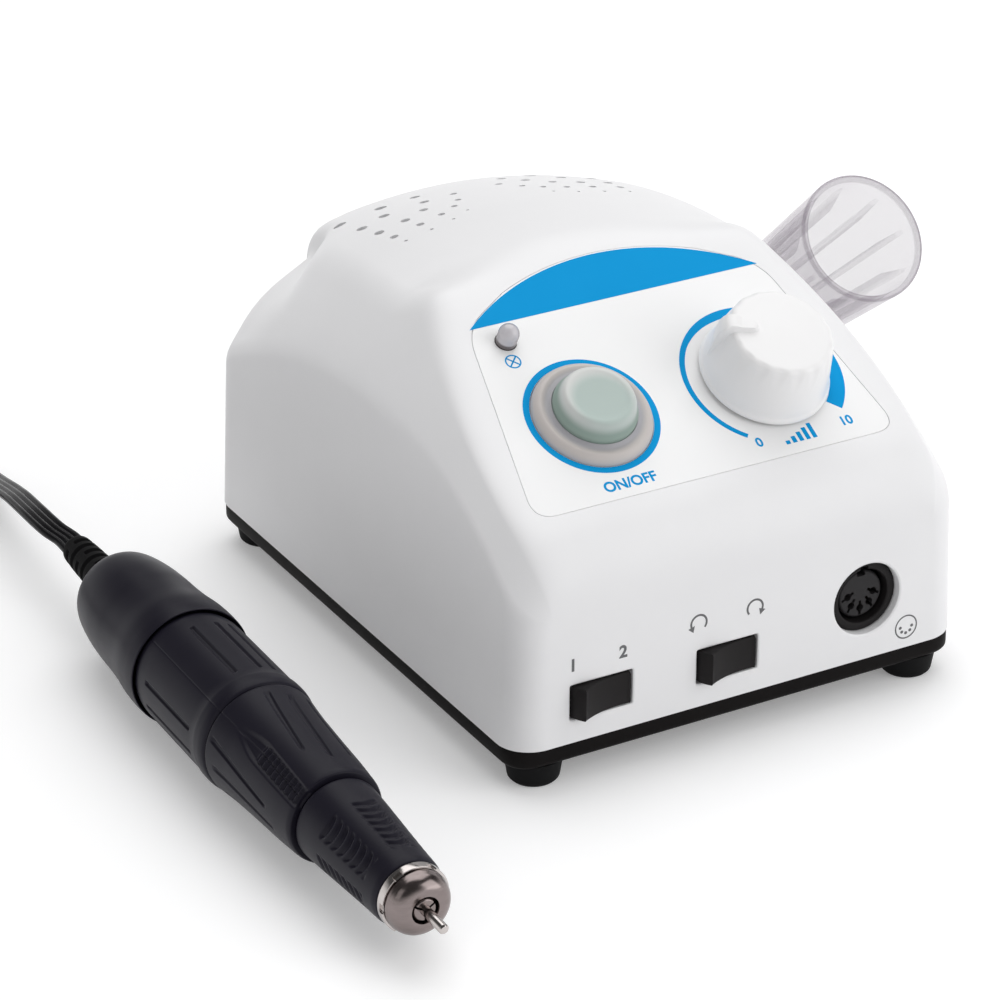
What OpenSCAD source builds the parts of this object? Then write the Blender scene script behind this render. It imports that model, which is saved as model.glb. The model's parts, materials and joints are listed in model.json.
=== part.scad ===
// Desktop nail drill: a control unit with a sloped panel, a handpiece holder on its
// right side, and a micromotor handpiece that lies on the table with its coiled cord.
// The origin is on the table under the middle of the unit. The front faces -Y.

/* [Control unit] */
// Width of the unit at its foot
unit_w = 121; // [117:1:128]
// Depth of the unit at its foot
unit_d = 151; // [149:1:158]
// Radius of the four upright corners
corner_r = 8; // [6:0.5:10]
// Lean of the side walls, in degrees
side_draft = 2.5; // [1:0.5:3.5]
// Thickness of the moulded walls
wall_t = 2.6; // [2.2:0.1:3]
// Height of the joint between tray and housing
seam_z = 10.8; // [10:0.2:12]
// Underside of the tray above the table
tray_z = 5.9; // [5:0.1:6.5]
// Radius between the front face and the panel
front_r = 20; // [16:1:22]
// Radius along the crest behind the panel
crest_r = 26; // [20:1:30]
// Radius of the roof behind the crest
roof_r = 175; // [150:5:220]
// Rounding along the rear edge
rear_r = 6; // [4:0.5:8]
// Height of the soft crease on the side walls
crease_z = 70.3; // [68:0.5:72]
// Rise of the bevel above the crease for each millimetre inwards
bevel_k = 1.5; // [1.4:0.05:1.7]

/* [Panel] */
// Slope of the panel, in degrees
panel_tilt = 29; // [26:0.5:31]
// Distance of the control row behind the front face
row_back = 32.1; // [30:0.5:34]
// Height of the control row
row_z = 72.9; // [71:0.5:75]
// Depth of the label's recess
label_t = 0.4; // [0.3:0.1:0.6]
// Radius of the power button's opening
opening_r = 14.5; // [13:0.5:15]
// Distance of the power button left of the middle
button_x = 21.9; // [21:0.1:23]
// Radius of the button's cap at its foot
cap_r = 10; // [9:0.2:10.4]
// Height of the cap above the panel
cap_h = 7.6; // [6.8:0.1:8.4]
// Travel of the button
button_travel = 2.5; // [1.5:0.5:3]
// Distance of the speed knob right of the middle
knob_x = 23.9; // [23:0.1:26]
// Radius of the knob at its foot
knob_r = 15; // [13:0.5:15.5]
// Radius of the knob at its top
knob_top_r = 12.3; // [11:0.1:13]
// Height of the knob
knob_h = 15.5; // [13:0.5:18]
// Radius of the warning lamp
lamp_r = 2.5; // [2:0.1:3]

/* [Front face] */
// Width of a switch window
window_w = 16.3; // [15:0.1:17]
// Height of a switch window
window_h = 8.8; // [8:0.1:10]
// Height of the switches above the table
switch_z = 21; // [20:0.5:24]
// Distance of the hand or foot switch in from the left side
switch_side = 22.6; // [22.5:0.1:24]
// Distance between the two switches
switch_pitch = 33.2; // [30:0.1:34]
// Swing of a rocker to each side of the middle, in degrees
rocker_swing = 11; // [8:0.5:12]
// Distance of the motor socket in from the right side
socket_side = 27.2; // [26.5:0.1:30.5]
// Height of the motor socket
socket_z = 26.4; // [25:0.1:28]
// Radius of the socket's hole
socket_r = 9; // [8.8:0.1:9.3]

/* [Feet] */
// Distance of a foot's middle in from the side of the unit
foot_side = 9.7; // [9:0.1:10.5]
// Distance of a foot's middle in from the front or rear
foot_end = 8; // [7.5:0.1:9]
// Radius of a foot where it meets the table
foot_r = 6; // [5:0.1:6.5]

/* [Handpiece holder] */
// Outer radius of the holder at its mouth
cup_r = 16.2; // [15:0.1:16.5]
// Outer radius of the holder at its closed end
cup_end_r = 12.8; // [12:0.1:13.5]
// Length of the holder
cup_l = 66; // [60:1:72]
// Wall of the holder
cup_t = 1.6; // [1.2:0.1:2]
// Rise of the holder towards its mouth, in degrees
cup_rise = 40; // [35:1:45]
// Height of the pivot on the side wall
pivot_z = 60; // [57:0.5:61]
// Distance of the pivot behind the middle of the unit
pivot_y = 20; // [17:0.5:24]
// Distance from the pivot to the mouth along the holder
pivot_to_mouth = 34; // [31:0.5:37]

/* [Handpiece] */
// Distance of the handpiece's axis from the unit's side
hand_gap = 46.2; // [44:0.1:56]
// Distance of the rear end of the handpiece behind the middle of the unit
hand_back = 34; // [30:0.5:40]
// Turn of the handpiece on the table, in degrees
hand_turn = -0.9; // [-3:0.1:1]
// Length of the rear cap
cap_l = 43; // [41:0.5:46]
// Radius of the rear cap at its rim
hand_r = 15; // [14.9:0.1:15.5]
// Visible length of the motor sleeve
sleeve_l = 36.8; // [35:0.1:39]
// Length of the middle grip
grip_l = 37.3; // [35:0.1:39]
// Length of the chuck sleeve
chuck_l = 33.9; // [32.5:0.1:36]
// Radius of the motor sleeve at its front collar
sleeve_r = 14.5; // [14.3:0.1:14.7]
// Radius at the front of the middle grip
grip_r = 11.5; // [11.2:0.1:12]
// Radius at the front of the chuck sleeve
chuck_r = 8.2; // [8.1:0.05:8.5]
// Radius of the tool's shank
shank_r = 1.175; // [1.17:0.005:1.6]
// Length of shank that stands out of the nose
shank_out = 8; // [6:0.5:16]

/* [Cord] */
// Width of the flat cord
cord_w = 5.4; // [5:0.1:5.6]
// Thickness of the flat cord
cord_t = 2.6; // [2.2:0.1:2.8]
// Turns in each layer of the coil
coil_turns = 3; // [2:1:3]
// Radius of the coil's outer turn
coil_r = 41.5; // [41.5:0.5:43]

/* [Fits] */
// Gap between a moving piece and what it moves in
move_gap = 0.3; // [0.2:0.05:0.4]
// Gap round a shaft in its bearing
run_gap = 0.05; // [0.02:0.01:0.09]
// Gap between fixed pieces that are put together
seat_gap = 0.15; // [0.1:0.05:0.2]

/* [Hidden] */
$fn = 64;

half_d = unit_d/2;
row_y = row_back - half_d;
switch_1_x = unit_w/2 - switch_side;
switch_2_x = switch_1_x - switch_pitch;
socket_x = unit_w/2 - socket_side;
foot_x = unit_w/2 - foot_side;
foot_y = half_d - foot_end;
eps = 0.01;

// Outline of the housing, worked out from a few curves

hump_h = 7;
hump_w = 32.7;
hump_start = half_d - 31;
hump_full = half_d - 9;
crease_y = 2;
crease_back_r = 126;
crease_front_drop = 13.9;
crease_run = half_d - 15.5;
crown = 0.0037;
crease_ease = 3;
hump_ease = 2.5;
edge_ease = 5.5;

function mix(a, b, t) = a + (b - a)*t;
function smooth(t) = let(k = max(0, min(1, t))) k*k*(3 - 2*k);
function panel_at(y) = row_z + (y - row_y)*tan(panel_tilt);

front_c = [front_r - half_d, panel_at(front_r - half_d) - front_r/cos(panel_tilt)];
crest_y = half_d - 70;
crest_c = [crest_y, panel_at(crest_y) - crest_r/cos(panel_tilt)];
crest_z = crest_c[1] + crest_r;
panel_end = crest_y - crest_r*sin(panel_tilt);

// Height of the roof along the middle, set in by a wall thickness
function roof_at(y, set) =
  y < front_c[0] - (front_r - set)*sin(panel_tilt)
    ? front_c[1] + sqrt(max(0, (front_r - set)^2 - (y - front_c[0])^2))
  : y < crest_y - (crest_r - set)*sin(panel_tilt) ? panel_at(y) - set/cos(panel_tilt)
  : y < crest_y ? crest_c[1] + sqrt((crest_r - set)^2 - (y - crest_y)^2)
  : crest_z - set - roof_r + sqrt(roof_r^2 - (y - crest_y)^2);

// Height of the crease along the side wall
function crease_at(y) = crease_z - (y > crease_y
  ? (y - crease_y)^2/(2*crease_back_r)
  : crease_front_drop*pow((crease_y - y)/crease_run, 2.7));

// How far an outline draws in towards the front or rear end for a rounding of radius r
function draw_in(y, r, set) = let(d = half_d - set - abs(y)) d < r ? r - sqrt(max(0, r^2 - (r - d)^2)) : 0;

// A corner at p between a and b, eased over a length t in n steps
function ease(a, p, b, t, n) =
  let(s = p + (a - p)/norm(a - p)*min(t, 0.45*norm(a - p)),
      e = p + (b - p)/norm(b - p)*min(t, 0.45*norm(b - p)))
  [for (i = [0:n]) let(k = i/n) s*(1 - k)^2 + p*2*k*(1 - k) + e*k^2];

// Right half of the section at y, from the foot up to the middle of the roof
function half_section(y, set, foot) =
  let(half = unit_w/2 - set - draw_in(y, max(corner_r - set, 1.5), set),
      drop = y > 0 ? draw_in(y, max(rear_r - set, 1), set) : 0,
      zr = roof_at(y, set) - drop,
      zc = min(crease_at(y) - 0.3*set - drop, zr - 1),
      xc = half - (zc - seam_z)*tan(side_draft),
      c = crown*smooth((y - panel_end)/25),
      a = zc + bevel_k*xc - zr,
      t = smooth((y - hump_start)/(hump_full - hump_start)),
      xb = c < 1e-6 ? a/bevel_k : (bevel_k - sqrt(bevel_k^2 - 4*c*a))/(2*c),
      xe = mix(xb, min(xb, hump_w - set), t),
      edge = [xe, zr - c*xe^2],
      crease = [xc, zc],
      bevel = mix(crease, [xb, zr - c*xb^2], 0.5),
      step = mix(bevel, edge + [0.6, -hump_h], t),
      low = [half - (foot - seam_z)*tan(side_draft), foot],
      inner = [xe*0.55, zr - c*(xe*0.55)^2],
      top = ease(step, edge, inner, edge_ease, 5),
      xl = top[5][0])
  concat([low], ease(low, crease, step, crease_ease, 2), ease(crease, step, edge, hump_ease, 2), top,
    [for (k = [0.7, 0.4]) [xl*k, zr - c*(xl*k)^2]]);

function ring(y, set, foot) =
  let(h = half_section(y, set, foot),
      n = len(h),
      mid = roof_at(y, set) - (y > 0 ? draw_in(y, max(rear_r - set, 1), set) : 0))
  concat([for (p = h) [p[0], y, p[1]]], [[0, y, mid]], [for (i = [n - 1:-1:0]) [-h[i][0], y, h[i][1]]]);

function stations(set) =
  let(f = set - half_d, cr = max(corner_r - set, 1.5), b = half_d - set)
  concat([for (a = [0:18:90]) f + cr*(1 - cos(a))],
    [for (i = [1:9]) mix(f + cr, panel_end, i/9)],
    [for (i = [1:3]) mix(panel_end, crest_y, i/3)],
    [for (i = [1:7]) mix(crest_y, b - cr, i/7)],
    [for (a = [72:-18:0]) b - cr*(1 - cos(a))]);

// A closed solid through rings that all have the same number of points, each end closed by a strip
// along its foot and a face above that
module loft(rings) {
  n = len(rings[0]);
  m = len(rings);
  end = (m - 1)*n;
  polyhedron(points = [for (r = rings) each r],
    faces = concat([[n - 1, n - 2, 1, 0], [for (i = [n - 2:-1:1]) i]],
      [[end, end + 1, end + n - 2, end + n - 1], [for (i = [1:n - 2]) end + i]],
      [for (j = [0:m - 2], i = [0:n - 1], s = [0, 1]) let(k = (i + 1)%n)
        s == 0 ? [j*n + i, (j + 1)*n + k, (j + 1)*n + i] : [j*n + i, j*n + k, (j + 1)*n + k]]));
}

module housing_skin(set, foot) {
  loft([for (y = stations(set)) ring(y, set, foot)]);
}

// Local frame of the panel: x to the right, y up the slope, z out of the surface
module on_panel() {
  translate([0, row_y, row_z]) rotate([panel_tilt, 0, 0]) children();
}

module rounded_plate(w, d, r) {
  square([w - 2*r, d], center = true);
  square([w, d - 2*r], center = true);
  for (x = [-1, 1], y = [-1, 1]) translate([x*(w/2 - r), y*(d/2 - r)]) circle(r);
}

// Panel label, in the panel's frame

label_low = -22.9;
label_high = 30.3;
label_low_w = 48.3;
label_taper = 9;
label_high_w = label_low_w - label_taper;
label_peak = 43.3;
label_corner = 6;
label_arc_r = (label_high_w^2 + (label_peak - label_high)^2)/(2*(label_peak - label_high));
lamp_in = 7.4;
lamp_down = 5.6;
lamp_at = [lamp_in - label_high_w, label_high - lamp_down];

module label_outline(grow) {
  w1 = label_low_w + grow;
  w2 = label_high_w + grow;
  low = label_low - grow;
  corner = [w1, low];
  up = [w2, label_high + grow];
  right = concat(ease([0, low], corner, up, label_corner, 6), [up]);
  cy = label_peak + grow - label_arc_r;
  a0 = acos(w2/label_arc_r);
  arc = [for (i = [1:15]) let(a = mix(a0, 180 - a0, i/16)) [label_arc_r*cos(a), cy + label_arc_r*sin(a)]];
  polygon(concat(right, arc, [for (i = [len(right) - 1:-1:0]) [-right[i][0], right[i][1]]]));
}

pot_bush_r = 3.5;
board_at = -22;
post_x = 40;
post_y = 14;
boss_r = 3.4;
screw_r = 1.5;
post_r = 2.5;
boss_top = 34;
boss_low = seam_z + 3.4;
boss_rib = 2;

// Vents over the rear of the roof, smaller towards the front: distance from the middle, distance
// from the rear face, radius
vent_spots = [[31.5, 15.5, 1.6], [32, 28, 1.35], [31.7, 36.3, 1.25], [31.2, 42.9, 1.05], [30.8, 48.1, 0.5],
  [21, 16.9, 1.55], [24.7, 25.7, 1.35], [24.3, 35.7, 1.2], [23.8, 42.3, 1], [23.8, 47.9, 0.5],
  [12.1, 18.1, 1.3], [14.1, 26.5, 1.2], [17.9, 33.1, 1.1], [17.3, 40.9, 0.9], [17.2, 46.7, 0.45],
  [6.3, 27, 0.95], [8.9, 33.9, 0.85], [12.3, 38.1, 0.85], [11.9, 43.9, 0.4]];
module vents() {
  for (side = [-1, 1], v = vent_spots) translate([side*v[0], half_d - v[1], crest_z - 40])
    cylinder(r = v[2], h = 60, $fn = 32);
}

inlet_side = 34.5;
inlet_x = unit_w/2 - inlet_side;
inlet_z = 30;
inlet_w = 27;
inlet_h = 19.6;
fuse_x = 8;
fuse_r = 6;
jack_side = 26.5;
jack_x = unit_w/2 - jack_side;
jack_r = 5.5;
side_pad_r = 6.5;
side_pad_x = unit_w/2 - (pivot_z - side_pad_r - seam_z)*tan(side_draft) + 0.4;
holder_screw_r = 2;

module upper_housing() {
  color("white") difference() {
    union() {
      difference() {
        housing_skin(0, seam_z);
        housing_skin(wall_t, seam_z - 1);
      }
      intersection() {
        housing_skin(wall_t/2, seam_z);
        union() {
          for (x = [-1, 1], y = [-1, 1]) translate([x*foot_x, y*foot_y, boss_low]) screw_boss(x);
          on_panel() for (x = [-1, 1], y = [-1, 1])
            translate([x*post_x, y*post_y, board_at]) cylinder(r = post_r, h = -board_at - wall_t/2);
        }
      }
      translate([side_pad_x - wall_t - 3, pivot_y, pivot_z]) rotate([0, 90, 0])
        cylinder(r = side_pad_r, h = wall_t + 3);
    }
    for (x = [-1, 1], y = [-1, 1]) translate([x*foot_x, y*foot_y, seam_z])
      cylinder(r = screw_r + run_gap, h = boss_top - seam_z - 4);
    on_panel() {
      translate([0, 0, -label_t]) linear_extrude(2) label_outline(seat_gap);
      translate([-button_x, 0, -8]) cylinder(r = opening_r, h = 12);
      translate([knob_x, 0, -8]) cylinder(r = pot_bush_r + seat_gap, h = 12);
      translate([lamp_at[0], lamp_at[1], -8]) cylinder(r = lamp_r + seat_gap, h = 12);
      for (x = [-1, 1], y = [-1, 1]) translate([x*post_x, y*post_y, board_at - 1])
        cylinder(r = 1 + run_gap, h = 9);
    }
    for (x = [switch_1_x, switch_2_x]) translate([-x, -half_d, switch_z]) {
      cube([window_w, 4*wall_t, window_h], center = true);
      translate([0, pin_y, 0])
        cylinder(r = pin_r + run_gap, h = pin_l + 2*move_gap, center = true, $fn = 32);
    }
    translate([socket_x, -half_d - 1, socket_z]) rotate([-90, 0, 0]) cylinder(r = socket_r, h = 3*wall_t);
    translate([-inlet_x, half_d, inlet_z]) cube([inlet_w, 4*wall_t, inlet_h], center = true);
    translate([fuse_x, half_d + 1, inlet_z]) rotate([90, 0, 0]) cylinder(r = fuse_r, h = 3*wall_t);
    translate([jack_x, half_d + 1, inlet_z]) rotate([90, 0, 0]) cylinder(r = jack_r, h = 3*wall_t);
    translate([side_pad_x - 12, pivot_y, pivot_z]) rotate([0, 90, 0])
      cylinder(r = holder_screw_r + run_gap, h = 20);
    vents();
  }
}

// Boss for a base screw, tied to the side wall by a rib
module screw_boss(side) {
  cylinder(r = boss_r, h = boss_top - boss_low);
  translate([side > 0 ? 0 : -foot_side, -boss_rib/2, 0]) cube([foot_side, boss_rib, boss_top - boss_low]);
}

tray_in = 0.6;
tray_floor = 2.5;
lip_h = 3;
tray_w = unit_w - 2*tray_in;
tray_d = unit_d - 2*tray_in;
lip_w = unit_w - 2*(wall_t + seat_gap + lip_h*tan(side_draft));
lip_d = unit_d - 2*(wall_t + seat_gap);
floor_z = tray_z + tray_floor;
board_post_h = 5;
power_mid = 5;
power_side = 9.5;
power_w = unit_w/2 - power_mid - power_side;
power_at = [power_mid + power_w/2, 16];
power_d = 84;

module base_tray() {
  color("dimgray") difference() {
    union() {
      translate([0, 0, tray_z]) linear_extrude(seam_z - tray_z)
        rounded_plate(tray_w, tray_d, corner_r - tray_in);
      translate([0, 0, seam_z - 1]) linear_extrude(lip_h + 1)
        rounded_plate(lip_w, lip_d, corner_r - wall_t - seat_gap);
    }
    difference() {
      translate([0, 0, floor_z]) linear_extrude(20)
        rounded_plate(lip_w - 3, lip_d - 3, corner_r - wall_t - seat_gap - 1.5);
      for (x = [-1, 1], y = [-1, 1]) translate([x*foot_x, y*foot_y, floor_z - eps])
        cylinder(r = boss_r + 0.6, h = seam_z + lip_h - floor_z + eps);
      for (x = [-1, 1], y = [-1, 1]) translate([power_at[0] + x*(power_w/2 - 4),
        power_at[1] + y*(power_d/2 - 4), floor_z - eps])
        cylinder(r = 3, h = board_post_h + eps);
    }
    for (x = [-1, 1], y = [-1, 1]) translate([x*foot_x, y*foot_y, tray_z - 1])
      cylinder(r = screw_r + seat_gap, h = 20);
  }
}

foot_top_r = foot_r + 0.85;
head_r = 3;
head_z = 1.6;
head_h = 2;
module rubber_feet() {
  color("black") for (x = [-1, 1], y = [-1, 1]) translate([x*foot_x, y*foot_y, 0]) difference() {
    rotate_extrude() polygon([[0, 0], [foot_r - 0.7, 0], [foot_r, 0.7], [foot_top_r, tray_z], [0, tray_z]]);
    translate([0, 0, -1]) cylinder(r = head_r + move_gap, h = head_z + head_h + 1);
    cylinder(r = screw_r + seat_gap, h = tray_z + 1);
  }
}

module base_screws() {
  color("silver") for (x = [-1, 1], y = [-1, 1]) translate([x*foot_x, y*foot_y, head_z]) difference() {
    union() {
      cylinder(r = head_r, h = head_h);
      translate([0, 0, head_h - eps]) cylinder(r = screw_r, h = boss_top - 6 - head_z - head_h);
    }
    for (a = [0, 90]) rotate([0, 0, a]) cube([3.2, 0.8, 2.2], center = true);
  }
}

module panel_label() {
  color("deepskyblue") on_panel() difference() {
    translate([0, 0, -label_t]) linear_extrude(label_t) label_outline(0);
    translate([-button_x, 0, -1]) cylinder(r = opening_r, h = 2);
    translate([knob_x, 0, -1]) cylinder(r = pot_bush_r + seat_gap, h = 2);
    translate([lamp_at[0], lamp_at[1], -1]) cylinder(r = lamp_r + seat_gap, h = 2);
  }
}

// Clear lamp with a flange behind the panel and a round end
module warning_lamp() {
  color("lightgray") on_panel() translate([lamp_at[0], lamp_at[1], 0]) rotate_extrude()
    polygon(concat([[0, -wall_t - 2], [lamp_r + 1, -wall_t - 2], [lamp_r + 1, -wall_t],
      [lamp_r, -wall_t], [lamp_r, 2.4]],
      [for (a = [15:15:90]) [lamp_r*cos(a), 2.4 + lamp_r*sin(a)]]));
}

boot_in_r = cap_r + move_gap;
boot_out_r = opening_r - seat_gap;
boot_h = 2.4;
// Soft ring that closes the opening round the button
module button_boot() {
  color("rosybrown") on_panel() translate([-button_x, 0, 0]) rotate_extrude()
    polygon([[boot_in_r, -wall_t - 1.6], [opening_r + 2, -wall_t - 1.6], [opening_r + 2, -wall_t],
      [boot_out_r, -wall_t], [boot_out_r, 0.4], [mix(boot_in_r, boot_out_r, 0.9), 1.3],
      [mix(boot_in_r, boot_out_r, 0.75), 2], [mix(boot_in_r, boot_out_r, 0.57), boot_h],
      [mix(boot_in_r, boot_out_r, 0.4), boot_h - 0.15], [mix(boot_in_r, boot_out_r, 0.22), boot_h - 0.3],
      [mix(boot_in_r, boot_out_r, 0.08), boot_h], [boot_in_r, boot_h + 0.3]]);
}

stem_r = 3;
stem_end = board_at + 7;
module power_button() {
  color("darkseagreen") on_panel() translate([-button_x, 0, 0]) rotate_extrude()
    polygon([[0, stem_end], [stem_r, stem_end], [stem_r, -4.5], [cap_r - 0.4, -4.5], [cap_r, -4.1],
      [cap_r, cap_h - 4.1], [cap_r - 0.6, cap_h - 3], [cap_r - 1.3, cap_h - 0.9],
      [cap_r - 1.9, cap_h - 0.1], [cap_r - 2.7, cap_h], [cap_r - 3.8, cap_h - 0.3], [0, cap_h - 0.4]]);
}

switch_body = 15;
module power_switch() {
  color("darkslategray") on_panel() translate([-button_x, 0, board_at]) difference() {
    translate([-switch_body/2, -switch_body/2, 0]) cube([switch_body, switch_body, 10]);
    translate([0, 0, 7 - button_travel - 1]) cylinder(r = stem_r + move_gap, h = 20);
  }
}

shaft_r = 3;
knob_gap = 0.8;
knob_flutes = 18;
pointer_at = 154;
module speed_knob() {
  color("whitesmoke") on_panel() translate([knob_x, 0, 0]) difference() {
    union() {
      rotate_extrude() polygon([[0, knob_gap + 3.6], [knob_r - 2, knob_gap + 3.6], [knob_r - 1.6, knob_gap],
        [knob_r + 0.5, knob_gap], [knob_r + 0.7, knob_gap + 0.3], [knob_r + 0.6, knob_gap + 1],
        [knob_r + 0.1, knob_gap + 1.6], [knob_top_r + 0.35, knob_h - 1.6], [knob_top_r - 0.1, knob_h - 0.5],
        [knob_top_r - 0.9, knob_h], [0, knob_h + 0.2]]);
      rotate([0, 0, pointer_at]) knob_pointer();
    }
    translate([0, 0, knob_gap + 3]) cylinder(r = shaft_r + run_gap, h = knob_h - knob_gap - 5);
    for (i = [0:knob_flutes - 1]) rotate([0, 0, (i + 0.5)*360/knob_flutes])
      translate([knob_top_r + 0.62, 0, knob_h + 0.5]) rotate([0, -14, 0])
        cylinder(r = 0.9, h = 3.4, center = true);
  }
}

// Wedge that points along +x, over the top and down the side of the knob
module knob_pointer() {
  inner = knob_top_r*0.35;
  tip = knob_r + 0.3;
  intersection() {
    rotate([90, 0, 0]) linear_extrude(4, center = true)
      polygon([[inner, knob_h - 0.5], [inner + 1.2, knob_h + 0.7], [knob_top_r - 0.6, knob_h + 1],
        [knob_top_r + 0.7, knob_h - 0.2], [tip, knob_gap + 2.6], [tip - 1.5, knob_gap + 2.6],
        [knob_top_r - 1.5, knob_h - 1]]);
    linear_extrude(2*knob_h)
      polygon([[inner - 1, -0.7], [knob_top_r, -1.7], [tip + 0.1, -0.3], [tip + 0.1, 0.3],
        [knob_top_r, 1.7], [inner - 1, 0.7]]);
  }
}

pot_r = 8;
pot_h = 8;
module potentiometer() {
  color("slategray") on_panel() translate([knob_x, 0, 0]) difference() {
    union() {
      translate([0, 0, -wall_t - pot_h]) cylinder(r = pot_r, h = pot_h);
      translate([0, 0, -wall_t - eps]) cylinder(r = pot_bush_r, h = wall_t + 2.6);
      translate([-pot_r + 2, -pot_r - 5, -wall_t - pot_h]) cube([2*pot_r - 4, 8, 1.6]);
    }
    translate([0, 0, -wall_t - pot_h + 1]) cylinder(r = shaft_r + run_gap, h = 20);
  }
}

module potentiometer_nut() {
  color("silver") on_panel() translate([knob_x, 0, 0]) difference() {
    cylinder(r = 5.8, h = 2, $fn = 6);
    translate([0, 0, -1]) cylinder(r = pot_bush_r + run_gap, h = 4);
  }
}

module potentiometer_shaft() {
  color("silver") on_panel() translate([knob_x, 0, -wall_t - pot_h + 1.2])
    cylinder(r = shaft_r, h = wall_t + pot_h + knob_h - 4.2);
}

board_t = 1.6;
board_w = 2*post_x + 8;
board_d = 2*post_y + 8;
module panel_board() {
  color("seagreen") on_panel() translate([0, 0, board_at - board_t]) difference() {
    linear_extrude(board_t) rounded_plate(board_w, board_d, 2);
    for (x = [-1, 1], y = [-1, 1]) translate([x*post_x, y*post_y, -1]) cylinder(r = 1.2, h = 4);
  }
}

module panel_board_screws() {
  color("silver") on_panel() for (x = [-1, 1], y = [-1, 1])
    translate([x*post_x, y*post_y, board_at - board_t]) {
    translate([0, 0, -1.4]) cylinder(r = 2, h = 1.4);
    translate([0, 0, -eps]) cylinder(r = 1, h = board_t + 6);
  }
}

power_board_z = floor_z + board_post_h;
module power_board() {
  color("seagreen") translate([power_at[0], power_at[1], power_board_z]) linear_extrude(board_t)
    rounded_plate(power_w, power_d, 2);
}

// On the power board: two tall capacitors, a small one, a relay and a driver, measured from the
// board's front left corner
store_r = 6;
store_h = 18;
store_x = 11;
store_y = 12;
store_pitch = 14;
small_r = 4;
small_h = 12;
small_x = 29;
small_y = 10;
relay_w = 14;
relay_d = 10;
relay_h = 12;
relay_x = 27;
relay_y = 20;
driver_w = 10;
driver_d = 4;
driver_h = 14;
driver_x = 5;
driver_y = 40;
module board_parts() {
  color("navy") translate([power_at[0] - power_w/2, power_at[1] - power_d/2, power_board_z + board_t]) {
    for (i = [0, 1]) translate([store_x, store_y + i*store_pitch, 0]) cylinder(r = store_r, h = store_h);
    translate([small_x, small_y, 0]) cylinder(r = small_r, h = small_h);
    translate([relay_x, relay_y, 0]) cube([relay_w, relay_d, relay_h]);
    translate([driver_x, driver_y, 0]) cube([driver_w, driver_d, driver_h]);
  }
}

fins = 8;
sink_t = 4;
sink_l = 34;
sink_h = 24;
sink_side = 7;
sink_y = 46;
fin_out = 14;
fin_t = 1.8;
module heat_sink() {
  color("silver") translate([power_at[0] + power_w/2 - sink_side - fin_out - sink_t,
    power_at[1] - power_d/2 + sink_y, power_board_z + board_t]) {
    cube([sink_t, sink_l, sink_h]);
    for (i = [0:fins - 1]) translate([sink_t - eps, i*(sink_l - fin_t)/(fins - 1), 0])
      cube([fin_out, fin_t, sink_h]);
  }
}

core_at = [-24, 34];
core_w = 50;
core_t = 22;
core_h = 44;
limb_w = 15;
yoke_t = 8;
coil_out = 8;
module transformer_core() {
  color("gray") translate([core_at[0], core_at[1], floor_z]) difference() {
    translate([-core_w/2, -core_t/2, 0]) cube([core_w, core_t, core_h]);
    for (x = [-1, 1]) translate([x*(limb_w/2 + (core_w - limb_w - 2*yoke_t)/4), 0, core_h/2])
      cube([(core_w - limb_w - 2*yoke_t)/2, core_t + 1, core_h - 2*yoke_t], center = true);
  }
}

module transformer_coil() {
  w = core_w - 2*yoke_t - 2*move_gap;
  h = core_h - 2*yoke_t - 2*move_gap;
  color("peru") translate([core_at[0], core_at[1], floor_z + core_h/2]) difference() {
    linear_extrude(h, center = true) rounded_plate(w, core_t + 2*coil_out, 4);
    cube([limb_w + 2*move_gap, core_t + 2*move_gap, h + 1], center = true);
  }
}

// Rocker switches: the body clips in behind the wall, the rocker turns on an upright pin
switch_w = 18;
switch_h = window_h + 2.4;
switch_depth = 13;
pin_r = 1.2;
pin_y = 2.4;
rocker_r = window_w/2 - move_gap;
rocker_h = window_h - 2*move_gap;
rocker_face = 4.2;
pin_l = window_h + 1.4;
module switch_frame(x) {
  translate([-x, -half_d, switch_z]) children();
}

module switch_case() {
  difference() {
    translate([-switch_w/2, wall_t, -switch_h/2]) cube([switch_w, switch_depth, switch_h]);
    translate([0, pin_y, 0]) cylinder(r = rocker_r + move_gap, h = rocker_h + 2*move_gap, center = true);
    translate([0, pin_y, 0]) cylinder(r = pin_r + run_gap, h = switch_h + 2, center = true);
  }
}

// Rocker with a hollow face, rounded ends about the pin, and its pin
module rocker() {
  translate([0, pin_y, 0]) rotate([0, 0, rocker_swing]) {
    linear_extrude(rocker_h, center = true) intersection() {
      circle(rocker_r);
      difference() {
        translate([-20, -rocker_face]) square([40, rocker_face + 3.4]);
        translate([0, -rocker_face - 21.4]) circle(r = 22.6);
      }
    }
    cylinder(r = pin_r, h = pin_l, center = true);
  }
}

module hand_foot_switch() { color("dimgray") switch_frame(switch_1_x) switch_case(); }
module hand_foot_rocker() { color("black") switch_frame(switch_1_x) rocker(); }
module direction_switch() { color("dimgray") switch_frame(switch_2_x) switch_case(); }
module direction_rocker() { color("black") switch_frame(switch_2_x) rocker(); }

// Five-way round socket, in its own frame with z out of the front face
din_shell_r = 6.75;
din_core_r = 5.9;
din_pitch_r = 3.5;
din_depth = 13;
din_floor = 3 - din_depth;
module on_socket() {
  translate([socket_x, -half_d, socket_z]) rotate([90, 0, 0]) children();
}

module socket_holes(r, low, high) {
  for (i = [0:4]) rotate([0, 0, 180 + i*45]) translate([din_pitch_r, 0, low])
    cylinder(r = r, h = high - low);
}

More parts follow.
